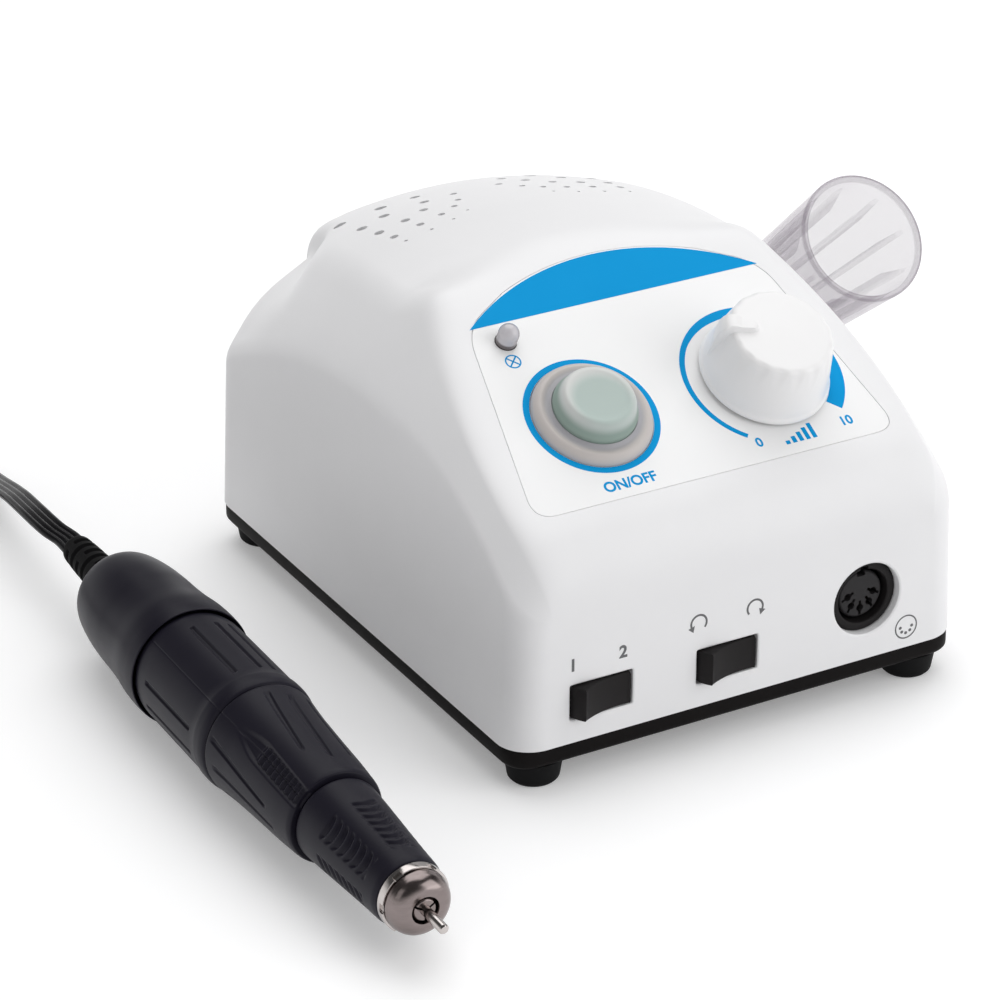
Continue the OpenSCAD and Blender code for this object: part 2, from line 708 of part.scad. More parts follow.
module motor_socket() {
  color("black") on_socket() difference() {
    rotate_extrude() polygon([[din_core_r + seat_gap, -din_depth], [socket_r - 1, -din_depth],
      [socket_r - 1, -wall_t - 2.4], [socket_r + 2.4, -wall_t - 2.4], [socket_r + 2.4, -wall_t],
      [socket_r - seat_gap, -wall_t], [socket_r - seat_gap, -2.1], [socket_r - 0.6, -1.7],
      [din_shell_r + 0.3, -1.7], [din_shell_r, -2], [din_shell_r, din_floor],
      [din_core_r + seat_gap, din_floor]]);
    key_notch();
  }
}

// Keyway at the top of the socket
module key_notch() {
  translate([-1.1, din_core_r - 1.2, din_floor]) cube([2.2, 3, din_depth]);
}

// Insulating core that holds the contacts
module socket_core() {
  color("dimgray") on_socket() difference() {
    rotate_extrude() polygon([[0, -din_depth], [din_core_r, -din_depth], [din_core_r, -4.6],
      [din_core_r - 0.4, -4.2], [0, -4.2]]);
    socket_holes(0.95, -din_depth + 2, 1);
    key_notch();
  }
}

module socket_contacts() {
  color("gold") on_socket() difference() {
    socket_holes(0.95 - run_gap, -din_depth + 2, -5);
    socket_holes(0.75, -din_depth + 4, 0);
  }
}

// Rear face: appliance inlet with three pins, fuse holder and pedal jack
module on_rear(x) {
  translate([x, half_d, inlet_z]) rotate([-90, 0, 0]) children();
}

inlet_deep = 14;
inlet_wall = 1.7;
inlet_back = 3;
inlet_rim = 2.5;
inlet_rim_t = 2.4;
inlet_corner = 2;
module mains_inlet() {
  color("black") on_rear(-inlet_x) difference() {
    union() {
      linear_extrude(inlet_rim_t)
        rounded_plate(inlet_w + 2*inlet_rim, inlet_h + 2*inlet_rim, inlet_corner + 1);
      translate([0, 0, -inlet_deep]) linear_extrude(inlet_deep + inlet_rim_t/2)
        rounded_plate(inlet_w - 2*seat_gap, inlet_h - 2*seat_gap, inlet_corner);
    }
    translate([0, 0, inlet_back - inlet_deep]) linear_extrude(inlet_deep)
      rounded_plate(inlet_w - 2*inlet_wall, inlet_h - 2*inlet_wall, inlet_corner + 0.4);
  }
}

blade_pitch = 7;
blade_w = 4;
blade_t = 2;
blade_l = 9.5;
module inlet_pins() {
  color("silver") on_rear(-inlet_x) for (i = [-1:1])
    translate([i*blade_pitch - blade_w/2, (i == 0 ? -1.5 : 0.5)*blade_t, inlet_back - inlet_deep])
      cube([blade_w, blade_t, blade_l]);
}

fuse_deep = 16;
fuse_cap_h = 4.4;
fuse_slot = 1.4;
module fuse_holder() {
  color("black") on_rear(fuse_x) difference() {
    rotate_extrude() polygon([[0, -fuse_deep], [fuse_r - 1, -fuse_deep], [fuse_r - 1, -wall_t - 3],
      [fuse_r + 1.6, -wall_t - 3], [fuse_r + 1.6, -wall_t], [fuse_r - seat_gap, -wall_t],
      [fuse_r - seat_gap, 0], [fuse_r + 1.2, 0], [fuse_r + 1.2, 2], [fuse_r - 0.4, fuse_cap_h],
      [0, fuse_cap_h]]);
    translate([1 - fuse_r, -fuse_slot/2, fuse_cap_h - 1]) cube([2*fuse_r - 2, fuse_slot, 2]);
  }
}

jack_deep = 18;
jack_bore_r = 3.2;
jack_back = 2;
jack_nut_t = 1.6;
module pedal_jack() {
  color("dimgray") on_rear(jack_x) difference() {
    union() {
      translate([0, 0, -jack_deep]) cylinder(r = jack_r - seat_gap, h = jack_deep);
      translate([0, 0, -wall_t - 3]) cylinder(r = jack_r + 2, h = 3);
      cylinder(r = jack_r + 1.6, h = jack_nut_t, $fn = 6);
    }
    translate([0, 0, jack_back - jack_deep]) cylinder(r = jack_bore_r, h = jack_deep + jack_nut_t);
  }
}

// Handpiece holder: a tapered clear cup on a side pivot, mouth towards the front
washer_t = 0.8;
cup_x = unit_w/2 + cup_r;
cup_fins = 6;
fin_h = 2.6;
fin_start = 9;
mouth_l = 8;
cup_slope = (cup_r - cup_end_r)/cup_l;
boss_in = cup_x - cup_r + cup_slope*pivot_to_mouth;
seat_at = boss_in + cup_t - 0.3;
module on_cup() {
  translate([cup_x, pivot_y, pivot_z]) rotate([90 - cup_rise, 0, 0]) children();
}

module holder_cup() {
  color("gainsboro") difference() {
    union() {
      on_cup() translate([0, 0, pivot_to_mouth - cup_l]) difference() {
        rotate_extrude() polygon([[0, 0], [cup_end_r - 1, 0], [cup_end_r, 1], [cup_r, cup_l - 0.6],
          [cup_r - 0.4, cup_l], [0, cup_l]]);
        rotate_extrude() polygon([[0, 2], [cup_end_r - cup_t, 2], [cup_r - cup_t, cup_l - mouth_l],
          [cup_r - cup_t, cup_l + 1], [0, cup_l + 1]]);
      }
      intersection() {
        on_cup() for (i = [0:cup_fins - 1]) rotate([0, 0, 30 + i*360/cup_fins]) cup_fin();
        on_cup() translate([0, 0, pivot_to_mouth - cup_l + 1])
          cylinder(r1 = cup_end_r - 0.8, r2 = cup_r - 0.8, h = cup_l - 2);
      }
      translate([side_pad_x + washer_t, pivot_y, pivot_z]) rotate([0, 90, 0])
        cylinder(r = side_pad_r, h = boss_in + cup_t - side_pad_x - washer_t);
    }
    translate([side_pad_x, pivot_y, pivot_z]) rotate([0, 90, 0])
      cylinder(r = holder_screw_r + run_gap, h = 14);
    translate([seat_at, pivot_y, pivot_z]) rotate([0, 90, 0]) cylinder(r = 4, h = 5);
  }
}

// One rib along the inside wall, cut on a slant towards the mouth
module cup_fin() {
  low = pivot_to_mouth - cup_l + 1.5;
  high = pivot_to_mouth - fin_start;
  in_low = cup_end_r - cup_t - fin_h;
  in_high = cup_r - cup_t - cup_slope*fin_start - fin_h;
  rotate([90, 0, 0]) linear_extrude(1.2, center = true)
    polygon([[in_low, low], [cup_end_r, low], [cup_r, high + 2], [in_high + fin_h, high],
      [in_high, high - 7]]);
}

module holder_washer() {
  color("silver") translate([side_pad_x, pivot_y, pivot_z]) rotate([0, 90, 0]) difference() {
    cylinder(r = side_pad_r - 0.5, h = washer_t - eps);
    translate([0, 0, -1]) cylinder(r = holder_screw_r + run_gap, h = 4);
  }
}

screw_in = 9;
module holder_screw() {
  start = seat_at + run_gap;
  color("silver") translate([start, pivot_y, pivot_z]) rotate([0, 90, 0]) difference() {
    union() {
      cylinder(r = 3.6, h = 2);
      translate([0, 0, side_pad_x - start - screw_in])
        cylinder(r = holder_screw_r, h = start - side_pad_x + screw_in + eps);
    }
    translate([0, 0, 1.6]) cube([5, 0.9, 2], center = true);
  }
}

// Handpiece, in its own frame: z runs from the rear end to the nose
sleeve_at = cap_l;
grip_at = sleeve_at + sleeve_l;
chuck_at = grip_at + grip_l;
nose_at = chuck_at + chuck_l;
ring_l = 2.6;
dome_l = 4.6;
tip_at = nose_at + ring_l + dome_l + shank_out;
rim_at = cap_l - 2;
collar_at = grip_at - 2.2;
hand_pitch = asin((hand_r - sleeve_r)/(collar_at - rim_at));
hand_x = -(unit_w/2 + hand_gap);
hand_z = hand_r/cos(hand_pitch) + rim_at*sin(hand_pitch);
module on_hand() {
  translate([hand_x, hand_back, hand_z]) rotate([90 + hand_pitch, 0, hand_turn]) children();
}

can_r = 11.6;
can_t = 0.8;
can_low = 14;
can_high = grip_at - 5;
socket_in_r = sleeve_r - 1.5;
sleeve_back = cap_l - 14;
relief_l = 23;
relief_r = 4.6;
// Round rear of the cap: radius as a share of the rim's, distance as a share of the length
cap_round = [[0.44, 0], [0.5733, 0.0116], [0.68, 0.0419], [0.76, 0.093], [0.82, 0.1767], [0.8733, 0.3023],
  [0.9033, 0.4419], [0.9167, 0.5581]];
// Soft cap: round at the rear, flared towards its rim
module rear_cap() {
  color("black") on_hand() difference() {
    rotate_extrude() polygon(concat([[0, 0]], [for (p = cap_round) [p[0]*hand_r, p[1]*cap_l]],
      [[hand_r - 0.85, cap_l - 13.5], [hand_r - 0.2, cap_l - 8], [hand_r, cap_l - 4], [hand_r, cap_l - 2],
      [hand_r - 0.15, cap_l - 0.8], [hand_r - 0.5, cap_l], [0, cap_l]]));
    translate([0, 0, can_low - 4]) cylinder(r = can_r + seat_gap, h = cap_l);
    translate([0, 0, sleeve_back - 0.3]) cylinder(r = socket_in_r + seat_gap, h = cap_l);
    translate([0, 0, -1]) cylinder(r = relief_r - 1 + seat_gap, h = 20);
  }
}

// Ribbed strain relief behind the cap
relief_ribs = 7;
module cord_relief() {
  color("black") on_hand() {
    translate([0, 0, -0.3]) cylinder(r = relief_r - 1, h = can_low - 4.7);
    translate([0, 0, -relief_l]) cylinder(r1 = relief_r - 1.9, r2 = relief_r - 0.9, h = relief_l - 0.1);
    for (i = [0:relief_ribs - 1]) translate([0, 0, 0.4 - relief_l + i*3.2])
      cylinder(r = mix(relief_r - 1.3, relief_r, i/(relief_ribs - 1)), h = 2);
  }
}

seam_at = 134;
groove_l = 23;
groove_angles = [35, 60, 75, 105, 120, 145];
// Sleeve over the motor, with long grooves and a collar at its front
module motor_sleeve() {
  color("black") on_hand() difference() {
    rotate_extrude() polygon([[can_r + seat_gap, sleeve_back], [socket_in_r, sleeve_back],
      [socket_in_r, cap_l + 0.3], [sleeve_r - 0.5, cap_l + 0.3], [sleeve_r - 0.35, cap_l + 5],
      [sleeve_r - 0.3, grip_at - 6.5], [sleeve_r, grip_at - 5], [sleeve_r, grip_at - 2.2],
      [sleeve_r - 0.3, grip_at - 0.7], [sleeve_r - 0.8, grip_at - 0.15],
      [can_r + seat_gap, grip_at - 0.15]]);
    for (side = [-1, 1], a = groove_angles) rotate([0, 0, seam_at + side*a])
      translate([sleeve_r - 0.75, -0.5, cap_l + 5.7]) cube([2, 1, groove_l]);
  }
}

flute_angles = [38, 60, 90, 120, 150];
rib_count = 9;
// Tapered grip with long flutes and a ribbed thumb recess on its upper side
module middle_grip() {
  color("black") on_hand() difference() {
    rotate_extrude() polygon([[tube_r + seat_gap, can_high + 0.3], [can_r - 0.2, can_high + 0.3],
      [can_r - 0.2, grip_at], [sleeve_r - 0.8, grip_at], [sleeve_r - 0.5, grip_at + 0.5],
      [sleeve_r - 0.8, grip_at + 3.5], [sleeve_r - 1.3, grip_at + 8.5],
      [mix(sleeve_r, grip_r, 0.55) + 0.15, grip_at + grip_l/2], [grip_r + 0.55, chuck_at - 8],
      [grip_r, chuck_at - 1.2], [grip_r - 0.4, chuck_at - 0.2], [tube_r + seat_gap, chuck_at - 0.2]]);
    for (side = [-1, 1], a = flute_angles) rotate([0, 0, seam_at + side*a]) grip_flute();
    rotate([0, 0, seam_at + 2]) thumb_recess();
  }
}

module grip_flute() {
  slope = atan((sleeve_r - grip_r)/grip_l);
  translate([sleeve_r - 0.15, 0, grip_at + 3]) rotate([0, -slope, 0]) cylinder(r = 0.7, h = 21);
}

// Row of cross grooves that widens towards the front
module thumb_recess() {
  for (i = [0:rib_count - 1])
    let(z = chuck_at - 3 - i*2,
        r = mix(grip_r, sleeve_r - 0.7, (chuck_at - z)/grip_l))
    translate([r + 0.2, 0, z]) cube([2, 5.4 - i*0.4, 1], center = true);
}

tube_r = 7.2;
tube_t = 2.1;
tube_low = grip_at + 4;
bearing_r = tube_r - tube_t;
chuck_ribs = 9;
chuck_back_r = grip_r - 1.3;
// Front sleeve that turns on the bearing tube to open the collet
module chuck_sleeve() {
  color("black") on_hand() difference() {
    rotate_extrude() polygon([[tube_r + 0.08, chuck_at + 0.3], [chuck_back_r - 0.4, chuck_at + 0.3],
      [chuck_back_r, chuck_at + 0.8], [chuck_back_r - 0.3, chuck_at + 7],
      [mix(chuck_back_r, chuck_r, 0.42), chuck_at + 15], [mix(chuck_back_r, chuck_r, 0.75), nose_at - 9],
      [chuck_r + 0.1, nose_at - 1.5], [chuck_r - 0.3, nose_at - 0.2], [tube_r + 0.08, nose_at - 0.2]]);
    for (a = [0:60:300], i = [0:chuck_ribs - 1]) rotate([0, 0, seam_at + 7.5 + a])
      let(z = chuck_at + 11 + i*2)
      translate([mix(chuck_back_r, chuck_r, (z - chuck_at)/chuck_l) + 0.35, 0, z])
        cube([1.4, 5.2, 0.8], center = true);
  }
}

shaft_small_r = 1.5;
motor_bearing_r = 4.5;
module motor_can() {
  color("silver") on_hand() difference() {
    translate([0, 0, can_low]) cylinder(r = can_r, h = can_high - can_low);
    translate([0, 0, can_low + 2]) cylinder(r = can_r - can_t, h = can_high - can_low - 4);
    translate([0, 0, can_low - 1]) cylinder(r = shaft_small_r + 0.6, h = can_high);
    for (z = [can_low + 1, can_high - 4]) translate([0, 0, z])
      cylinder(r = motor_bearing_r + seat_gap/2, h = 3);
  }
}

// Two magnets inside the can, with a gap between them at each side
air_gap = 0.3;
magnet_back = 12;
magnet_ahead = 8;
magnet_part = 2;
module motor_magnets() {
  color("dimgray") on_hand() intersection() {
    difference() {
      translate([0, 0, can_low + magnet_back])
        cylinder(r = can_r - can_t - run_gap, h = can_high - can_low - magnet_back - magnet_ahead);
      cylinder(r = rotor_r + air_gap, h = can_high);
    }
    for (a = [0, 180]) rotate([0, 0, a]) translate([magnet_part, -can_r, 0])
      cube([can_r, 2*can_r, can_high]);
  }
}

module ball_bearing(r_out, r_in, w) {
  difference() {
    cylinder(r = r_out, h = w);
    translate([0, 0, -1]) cylinder(r = r_in, h = w + 2);
    for (z = [-0.01, w - 0.35]) translate([0, 0, z]) difference() {
      cylinder(r = r_out - 0.8, h = 0.36);
      cylinder(r = r_in + 0.8, h = 0.36);
    }
  }
}

module motor_bearings() {
  color("lightgray") on_hand() for (z = [can_low + 1, can_high - 3.8]) translate([0, 0, z])
    ball_bearing(motor_bearing_r, shaft_small_r + run_gap, 2.6);
}

rotor_r = 8.9;
winding_r = 7.4;
winding_end_r = 6.5;
slot_floor_r = 7.6;
slot_w = 1;
poles = 7;
rotor_back = 11;
rotor_ahead = 7.4;
rotor_low = can_low + rotor_back;
rotor_high = can_high - rotor_ahead;
winding_l = 3;
module rotor() {
  bore_r = shaft_small_r + run_gap;
  color("peru") on_hand() difference() {
    rotate_extrude() polygon([[bore_r, rotor_low], [winding_end_r, rotor_low], [winding_r, rotor_low + 2],
      [winding_r, rotor_low + winding_l], [rotor_r, rotor_low + winding_l],
      [rotor_r, rotor_high - winding_l], [winding_r, rotor_high - winding_l], [winding_r, rotor_high - 2],
      [winding_end_r, rotor_high], [bore_r, rotor_high]]);
    for (i = [0:poles - 1]) rotate([0, 0, i*360/poles]) translate([slot_floor_r, -slot_w/2, rotor_low])
      cube([rotor_r, slot_w, rotor_high - rotor_low]);
  }
}

comm_r = 3.6;
comm_l = 5.6;
comm_slot = 0.4;
module commutator() {
  color("darkgoldenrod") on_hand() translate([0, 0, can_low + 5]) difference() {
    cylinder(r = comm_r, h = comm_l);
    translate([0, 0, -1]) cylinder(r = shaft_small_r + run_gap, h = comm_l + 2);
    for (i = [0:poles - 1]) rotate([0, 0, i*360/poles]) translate([comm_r - 0.6, -comm_slot/2, -1])
      cube([comm_r, comm_slot, comm_l + 2]);
  }
}

brush_w = 3;
brush_l = 3.6;
module motor_brushes() {
  color("dimgray") on_hand() for (a = [90, 270]) rotate([0, 0, a])
    translate([comm_r + move_gap, -brush_w/2, can_low + 6])
    cube([can_r - can_t - comm_r - move_gap - 0.2, brush_w, brush_l]);
}

module bearing_tube() {
  color("silver") on_hand() difference() {
    translate([0, 0, tube_low]) cylinder(r = tube_r, h = nose_at + ring_l - tube_low);
    translate([0, 0, tube_low - 1]) cylinder(r = bearing_r - 0.6, h = 90);
    translate([0, 0, tube_low - 1]) cylinder(r = bearing_r, h = 6);
    translate([0, 0, nose_at - 6]) cylinder(r = bearing_r, h = 20);
  }
}

spindle_r = 3;
module spindle_bearings() {
  color("lightgray") on_hand() for (z = [tube_low + 0.5, nose_at - 5.8]) translate([0, 0, z])
    ball_bearing(bearing_r - 0.02, spindle_r + run_gap, 4);
}

module spindle() {
  color("silver") on_hand() difference() {
    union() {
      translate([0, 0, can_low + 1.5]) cylinder(r = shaft_small_r, h = grip_at - can_low);
      translate([0, 0, grip_at + 1.4]) cylinder(r = spindle_r, h = nose_at + ring_l - grip_at - 2);
    }
    translate([0, 0, nose_at - 26]) cylinder(r = collet_r + run_gap, h = 60);
  }
}

collet_r = 2.2;
module collet() {
  color("gray") on_hand() difference() {
    union() {
      translate([0, 0, nose_at - 24]) cylinder(r = collet_r, h = 24 + ring_l + dome_l - 0.4);
      translate([0, 0, nose_at + ring_l - 0.4]) cylinder(r1 = collet_r, r2 = 2.7, h = dome_l);
    }
    translate([0, 0, nose_at - 30]) cylinder(r = shank_r + run_gap/2, h = 60);
    for (a = [0, 120, 240]) rotate([0, 0, a]) translate([0, -0.25, nose_at - 8]) cube([6, 0.5, 40]);
  }
}

module tool_shank() {
  color("silver") on_hand() translate([0, 0, nose_at - 20]) rotate_extrude()
    polygon([[0, 0], [shank_r, 0], [shank_r, tip_at - nose_at + 19.7],
      [shank_r - 0.3, tip_at - nose_at + 20], [0, tip_at - nose_at + 20]]);
}

// Slotted ring that locks the nose on the bearing tube
module lock_ring() {
  color("silver") on_hand() difference() {
    translate([0, 0, nose_at + 0.2]) cylinder(r = tube_r + 0.75, h = ring_l - 0.4);
    cylinder(r = tube_r + run_gap, h = 300);
    for (i = [0:5]) rotate([0, 0, i*60]) translate([tube_r + 0.3, -1.1, nose_at + 1.3]) cube([3, 2.2, 3]);
  }
}

module nose_cap() {
  color("silver") on_hand() difference() {
    translate([0, 0, nose_at + ring_l]) rotate_extrude()
      polygon(concat([[3.1, 0.05], [tube_r + 0.2, 0.05], [tube_r + 0.2, 0.8]],
        [for (a = [15:15:75]) [3.6 + (tube_r - 3.5)*cos(a), 0.8 + (dome_l - 1)*sin(a)]],
        [[3.6, dome_l - 0.2], [3.1, dome_l - 0.5]]));
  }
}

// Flat cord: a free stretch from the strain relief, then a coil in two layers
// Points of the free stretch: sideways from the handpiece's axis, behind its rear end, height
cord_free = [[-0.5, 34, 16.1], [-0.5, 40, 15.8], [-0.1, 47, 15.2], [0.6, 54, 14.2], [1.4, 61, 13],
  [2.2, 68, 11.4], [3, 76, 9.4], [3.9, 83, 7.6], [4.8, 90, 6], [5.5, 97, 4.5], [5.9, 104, 3.3],
  [6, 111, 2.5], [6, 118, 2.05]];
free_end = cord_free[len(cord_free) - 1];
coil_lead = 8;
cord_floor = 0.6;
layer_z = [cord_floor + cord_t/2, cord_floor + cord_t/2 + cord_t + 0.6];
coil_pitch = cord_w + 0.6;
coil_c = [hand_x + free_end[0] - coil_r, hand_back + free_end[1] + coil_lead];
coil_in = coil_r - coil_pitch*coil_turns;
coil_sweep = 720*coil_turns + 180;
loop_rings = 24;

function coil_point(a) =
  let(down = 360*coil_turns,
      turn = max(0, min(180, a - down)),
      r = a < down ? coil_r - coil_pitch*a/360
        : a < down + 180 ? coil_in - coil_pitch/2*sin(turn)
        : coil_in + coil_pitch*(a - down - 180)/360,
      z = mix(layer_z[0], layer_z[1], smooth((turn - 40)/100)))
  [coil_c[0] + r*cos(a), coil_c[1] + r*sin(a), z];

relief_dir = [-sin(hand_turn)*cos(hand_pitch), cos(hand_turn)*cos(hand_pitch), sin(hand_pitch)];
relief_end = [hand_x, hand_back, hand_z] + relief_dir*relief_l;
coil_path = [for (i = [0:round(coil_sweep/360*loop_rings)]) coil_point(i*360/loop_rings)];
free_path = concat([relief_end, relief_end + relief_dir*cord_w],
  [for (p = cord_free) [hand_x + p[0], hand_back + p[1], p[2]]],
  [coil_path[0]]);

function flat(v) = let(f = [v[0], v[1], 0]) f/norm(f);
function unit(v) = v/norm(v);
// Direction along a path at point i
function heading(path, i) = unit(path[min(i + 1, len(path) - 1)] - path[max(i - 1, 0)]);

// Flattened ring of k sides across a path
function cord_ring(p, along, k) =
  let(side = cross(along, [0, 0, 1])/norm(cross(along, [0, 0, 1])), up = cross(side, along))
  [for (i = [0:k - 1]) let(a = i*360/k)
    p + side*(cord_w/2*cos(a)) + up*(cord_t/2*(k == 6 ? 1.155 : 1.082)*sin(a))];

module motor_cord() {
  n = len(free_path) - 1;
  ends = [unit(relief_dir), [0, 1, 0]];
  color("black") loft([for (i = [0:n])
    cord_ring(free_path[i], i == 0 ? ends[0] : i == n ? ends[1] : heading(free_path, i), 8)]);
}

tail_l = 14;
coil_n = len(coil_path) - 1;
coil_end = coil_path[coil_n];
plug_z = 7.6;
tail = [for (i = [1:4]) coil_end + [0, -i*tail_l/4, (plug_z - layer_z[1])*smooth(i/4)]];
wound = concat(coil_path, tail, [tail[3] + [0, -cord_w, 0]]);
wound_n = len(wound) - 1;

// Least gap between points of turns that lie next to each other
coil_gap = min([for (i = [0:3:coil_n - loop_rings]) min([for (j = [i + round(loop_rings*0.6):coil_n])
  let(d = coil_path[i] - coil_path[j]) max(norm([d[0], d[1]]) - cord_w, abs(d[2]) - cord_t)])]);
echo(coil_gap = coil_gap);

module cord_coil() {
  color("black") loft([for (i = [0:wound_n])
    cord_ring(wound[i], i == 0 ? [0, 1, 0] : i >= wound_n - 1 ? [0, -1, 0] : heading(wound, i), 6)]);
}

tie_w = 9;
tie_t = 0.45;
tie_in = [coil_in + coil_pitch/4 - cord_w/2 - 0.6, coil_r - coil_pitch*0.75 + cord_w/2 + 0.6];
// Band round all the turns at the front of the coil
module cord_tie() {
  top = layer_z[1] + cord_t/2*1.155 + 0.3;
  color("dimgray") translate([coil_c[0], coil_c[1], 0]) rotate([0, 0, 270]) rotate([90, 0, 0])
    linear_extrude(tie_w, center = true) difference() {
    translate([tie_in[0] - 0.8, 0]) square([tie_in[1] - tie_in[0] + 1.6, top + 0.8]);
    translate([tie_in[0], tie_t]) square([tie_in[1] - tie_in[0], top - tie_t]);
  }
}

// Plug at the far end of the cord, in its own frame with z towards its pins
module on_plug() {
  translate(wound[wound_n]) rotate([90, 0, 0]) children();
}

grip_len = 34;
module cord_plug() {
  color("black") on_plug() rotate_extrude()
    polygon([[0, 0], [3.4, 0], [3.9, 7], [6.2, 9], [7.2, 12], [7.5, 18], [7.3, 27], [7.5, 33],
      [7.1, grip_len], [0, grip_len]]);
}

module plug_shell() {
  color("silver") on_plug() translate([0, 0, grip_len]) difference() {
    cylinder(r = 6.6, h = 9);
    translate([0, 0, 1]) cylinder(r = 6.1, h = 10);
    translate([-1, 5, 2]) cube([2, 3, 10]);
  }
}

module plug_pins() {
  color("gold") on_plug() for (i = [0:4]) rotate([0, 0, 180 + i*45])
    translate([din_pitch_r, 0, grip_len + 1]) cylinder(r = 0.72, h = 7.4);
}

upper_housing();
base_tray();
rubber_feet();
base_screws();
panel_label();
warning_lamp();
button_boot();
power_button();
power_switch();
speed_knob();
potentiometer();
potentiometer_nut();
potentiometer_shaft();
panel_board();
panel_board_screws();
power_board();
board_parts();
heat_sink();
transformer_core();
transformer_coil();
hand_foot_switch();
hand_foot_rocker();
direction_switch();
direction_rocker();
motor_socket();
socket_core();
socket_contacts();
mains_inlet();
inlet_pins();
fuse_holder();
pedal_jack();
holder_cup();
holder_washer();
holder_screw();
rear_cap();
cord_relief();
motor_sleeve();
middle_grip();
motor_can();
motor_magnets();
motor_bearings();
motor_brushes();
bearing_tube();
spindle_bearings();
lock_ring();
nose_cap();
chuck_sleeve();
rotor();
commutator();
spindle();
collet();
tool_shank();
motor_cord();
cord_coil();
cord_tie();
cord_plug();
plug_shell();
plug_pins();
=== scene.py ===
import json
import math
import bpy
import numpy as np
from mathutils import Matrix, Vector


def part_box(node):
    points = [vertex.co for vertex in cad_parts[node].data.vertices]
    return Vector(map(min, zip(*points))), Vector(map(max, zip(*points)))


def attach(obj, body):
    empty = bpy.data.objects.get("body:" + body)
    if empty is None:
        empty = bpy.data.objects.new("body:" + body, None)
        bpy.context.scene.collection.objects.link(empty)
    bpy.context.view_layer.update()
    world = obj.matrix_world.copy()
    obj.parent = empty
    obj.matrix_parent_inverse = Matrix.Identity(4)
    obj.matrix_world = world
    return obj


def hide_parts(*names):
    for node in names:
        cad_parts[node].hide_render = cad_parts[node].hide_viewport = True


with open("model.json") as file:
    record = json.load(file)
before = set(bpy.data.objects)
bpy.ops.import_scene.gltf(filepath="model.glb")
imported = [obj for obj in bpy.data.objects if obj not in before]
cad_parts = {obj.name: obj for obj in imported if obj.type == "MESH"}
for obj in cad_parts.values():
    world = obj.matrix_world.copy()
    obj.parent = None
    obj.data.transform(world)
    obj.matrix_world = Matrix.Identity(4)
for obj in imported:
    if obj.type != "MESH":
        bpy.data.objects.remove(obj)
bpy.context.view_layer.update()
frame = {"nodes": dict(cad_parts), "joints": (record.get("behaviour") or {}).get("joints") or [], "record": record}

# Lengths below are in millimetres, in the model's own frame, and turned into metres when a mesh is made
mm = 0.001
scene = bpy.context.scene
joints = {j["name"]: j for j in frame["joints"]}
mounts = {m["name"]: m for m in frame["record"]["mounts"]}
slotOf = {p["node"]: p["material_slot"] for p in frame["record"]["subparts"]}


def place(origin, right, out):
    right = Vector(right).normalized()
    out = Vector(out).normalized()
    turned = Matrix((right, out.cross(right), out)).transposed().to_4x4()
    turned.translation = Vector(origin)
    return turned


def at(spot, x, y, turn=0):
    return spot @ Matrix.Translation((x, y, 0)) @ Matrix.Rotation(math.radians(turn), 4, "Z")


# Sizes of the housing, and where its crown, hump and shoulders set in
unitLow, unitHigh = (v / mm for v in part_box("upper_housing"))
halfD = unitHigh.y
unit = {
    "halfW": 60.5, "foot": unitLow.z, "cornerR": 8, "wall": 2.6, "draft": math.tan(math.radians(2.5)),
    "tilt": math.radians(29), "rowY": -43.4, "rowZ": 72.9, "frontR": 20, "crestR": 26, "crestBack": 70,
    "roofR": 175, "rearR": 6, "bevel": 1.5,
    "creaseZ": 70.3, "creaseY": 2, "creaseBow": 252, "creaseDrop": 13.9, "creaseEnd": 15.5,
    "humpH": 7, "humpW": 32.7, "humpFrom": 31, "humpOver": 22,
    "crown": 0.0037, "crownFrom": 3, "crownOver": 16,
    "swell": (0.83, 0.55), "swellFrom": 50, "swellOver": 40, "bellies": (0.3, 4),
}

# Local frames: z points out of the panel, towards the nose, out of the holder's mouth, and so on
upright = Matrix.Rotation(math.radians(90), 4, "X")
tiltSin = math.sin(unit["tilt"])
tiltCos = math.cos(unit["tilt"])
panel = place((0, unit["rowY"], unit["rowZ"]), (1, 0, 0), (0, -tiltSin, tiltCos))
front = place((0, -halfD, 0), (1, 0, 0), (0, -1, 0))
rear = place((0, halfD, 0), (1, 0, 0), (0, 1, 0))
chuckAlong = 134
handAxis = Vector(joints["chuck_turn"]["axis"]).normalized()
handAt = Vector(joints["chuck_turn"]["pos_m"]) / mm - handAxis * chuckAlong
hand = place(handAt, (-handAxis.y, handAxis.x, 0), handAxis)
mountDepth = 4
cupAxis = Vector(mounts["holder_mouth"]["axis"]).normalized()
cupMouth = Vector(mounts["holder_mouth"]["pos_m"]) / mm + cupAxis * mountDepth
cup = place(cupMouth, (1, 0, 0), cupAxis)


def smooth(t):
    t = np.clip(t, 0, 1)
    return t * t * (3 - 2 * t)


def band(x, low, high, soft):
    return smooth((x - low) / soft + 0.5) * smooth((high - x) / soft + 0.5)


def mix(a, b, t):
    return a + (b - a) * t


def wrap(angle):
    return (angle + 180) % 360 - 180


def wave(x, pitch):
    return 0.5 - 0.5 * np.cos(2 * math.pi * x / pitch)


def placed(spot, points):
    m = np.array(spot)
    return np.asarray(points, float) @ m[:3, :3].T + m[:3, 3]


def newPiece(name, points, faces):
    mesh = bpy.data.meshes.new(name)
    mesh.from_pydata([tuple(p) for p in points], [], faces)
    obj = bpy.data.objects.new(name, mesh)
    scene.collection.objects.link(obj)
    return obj


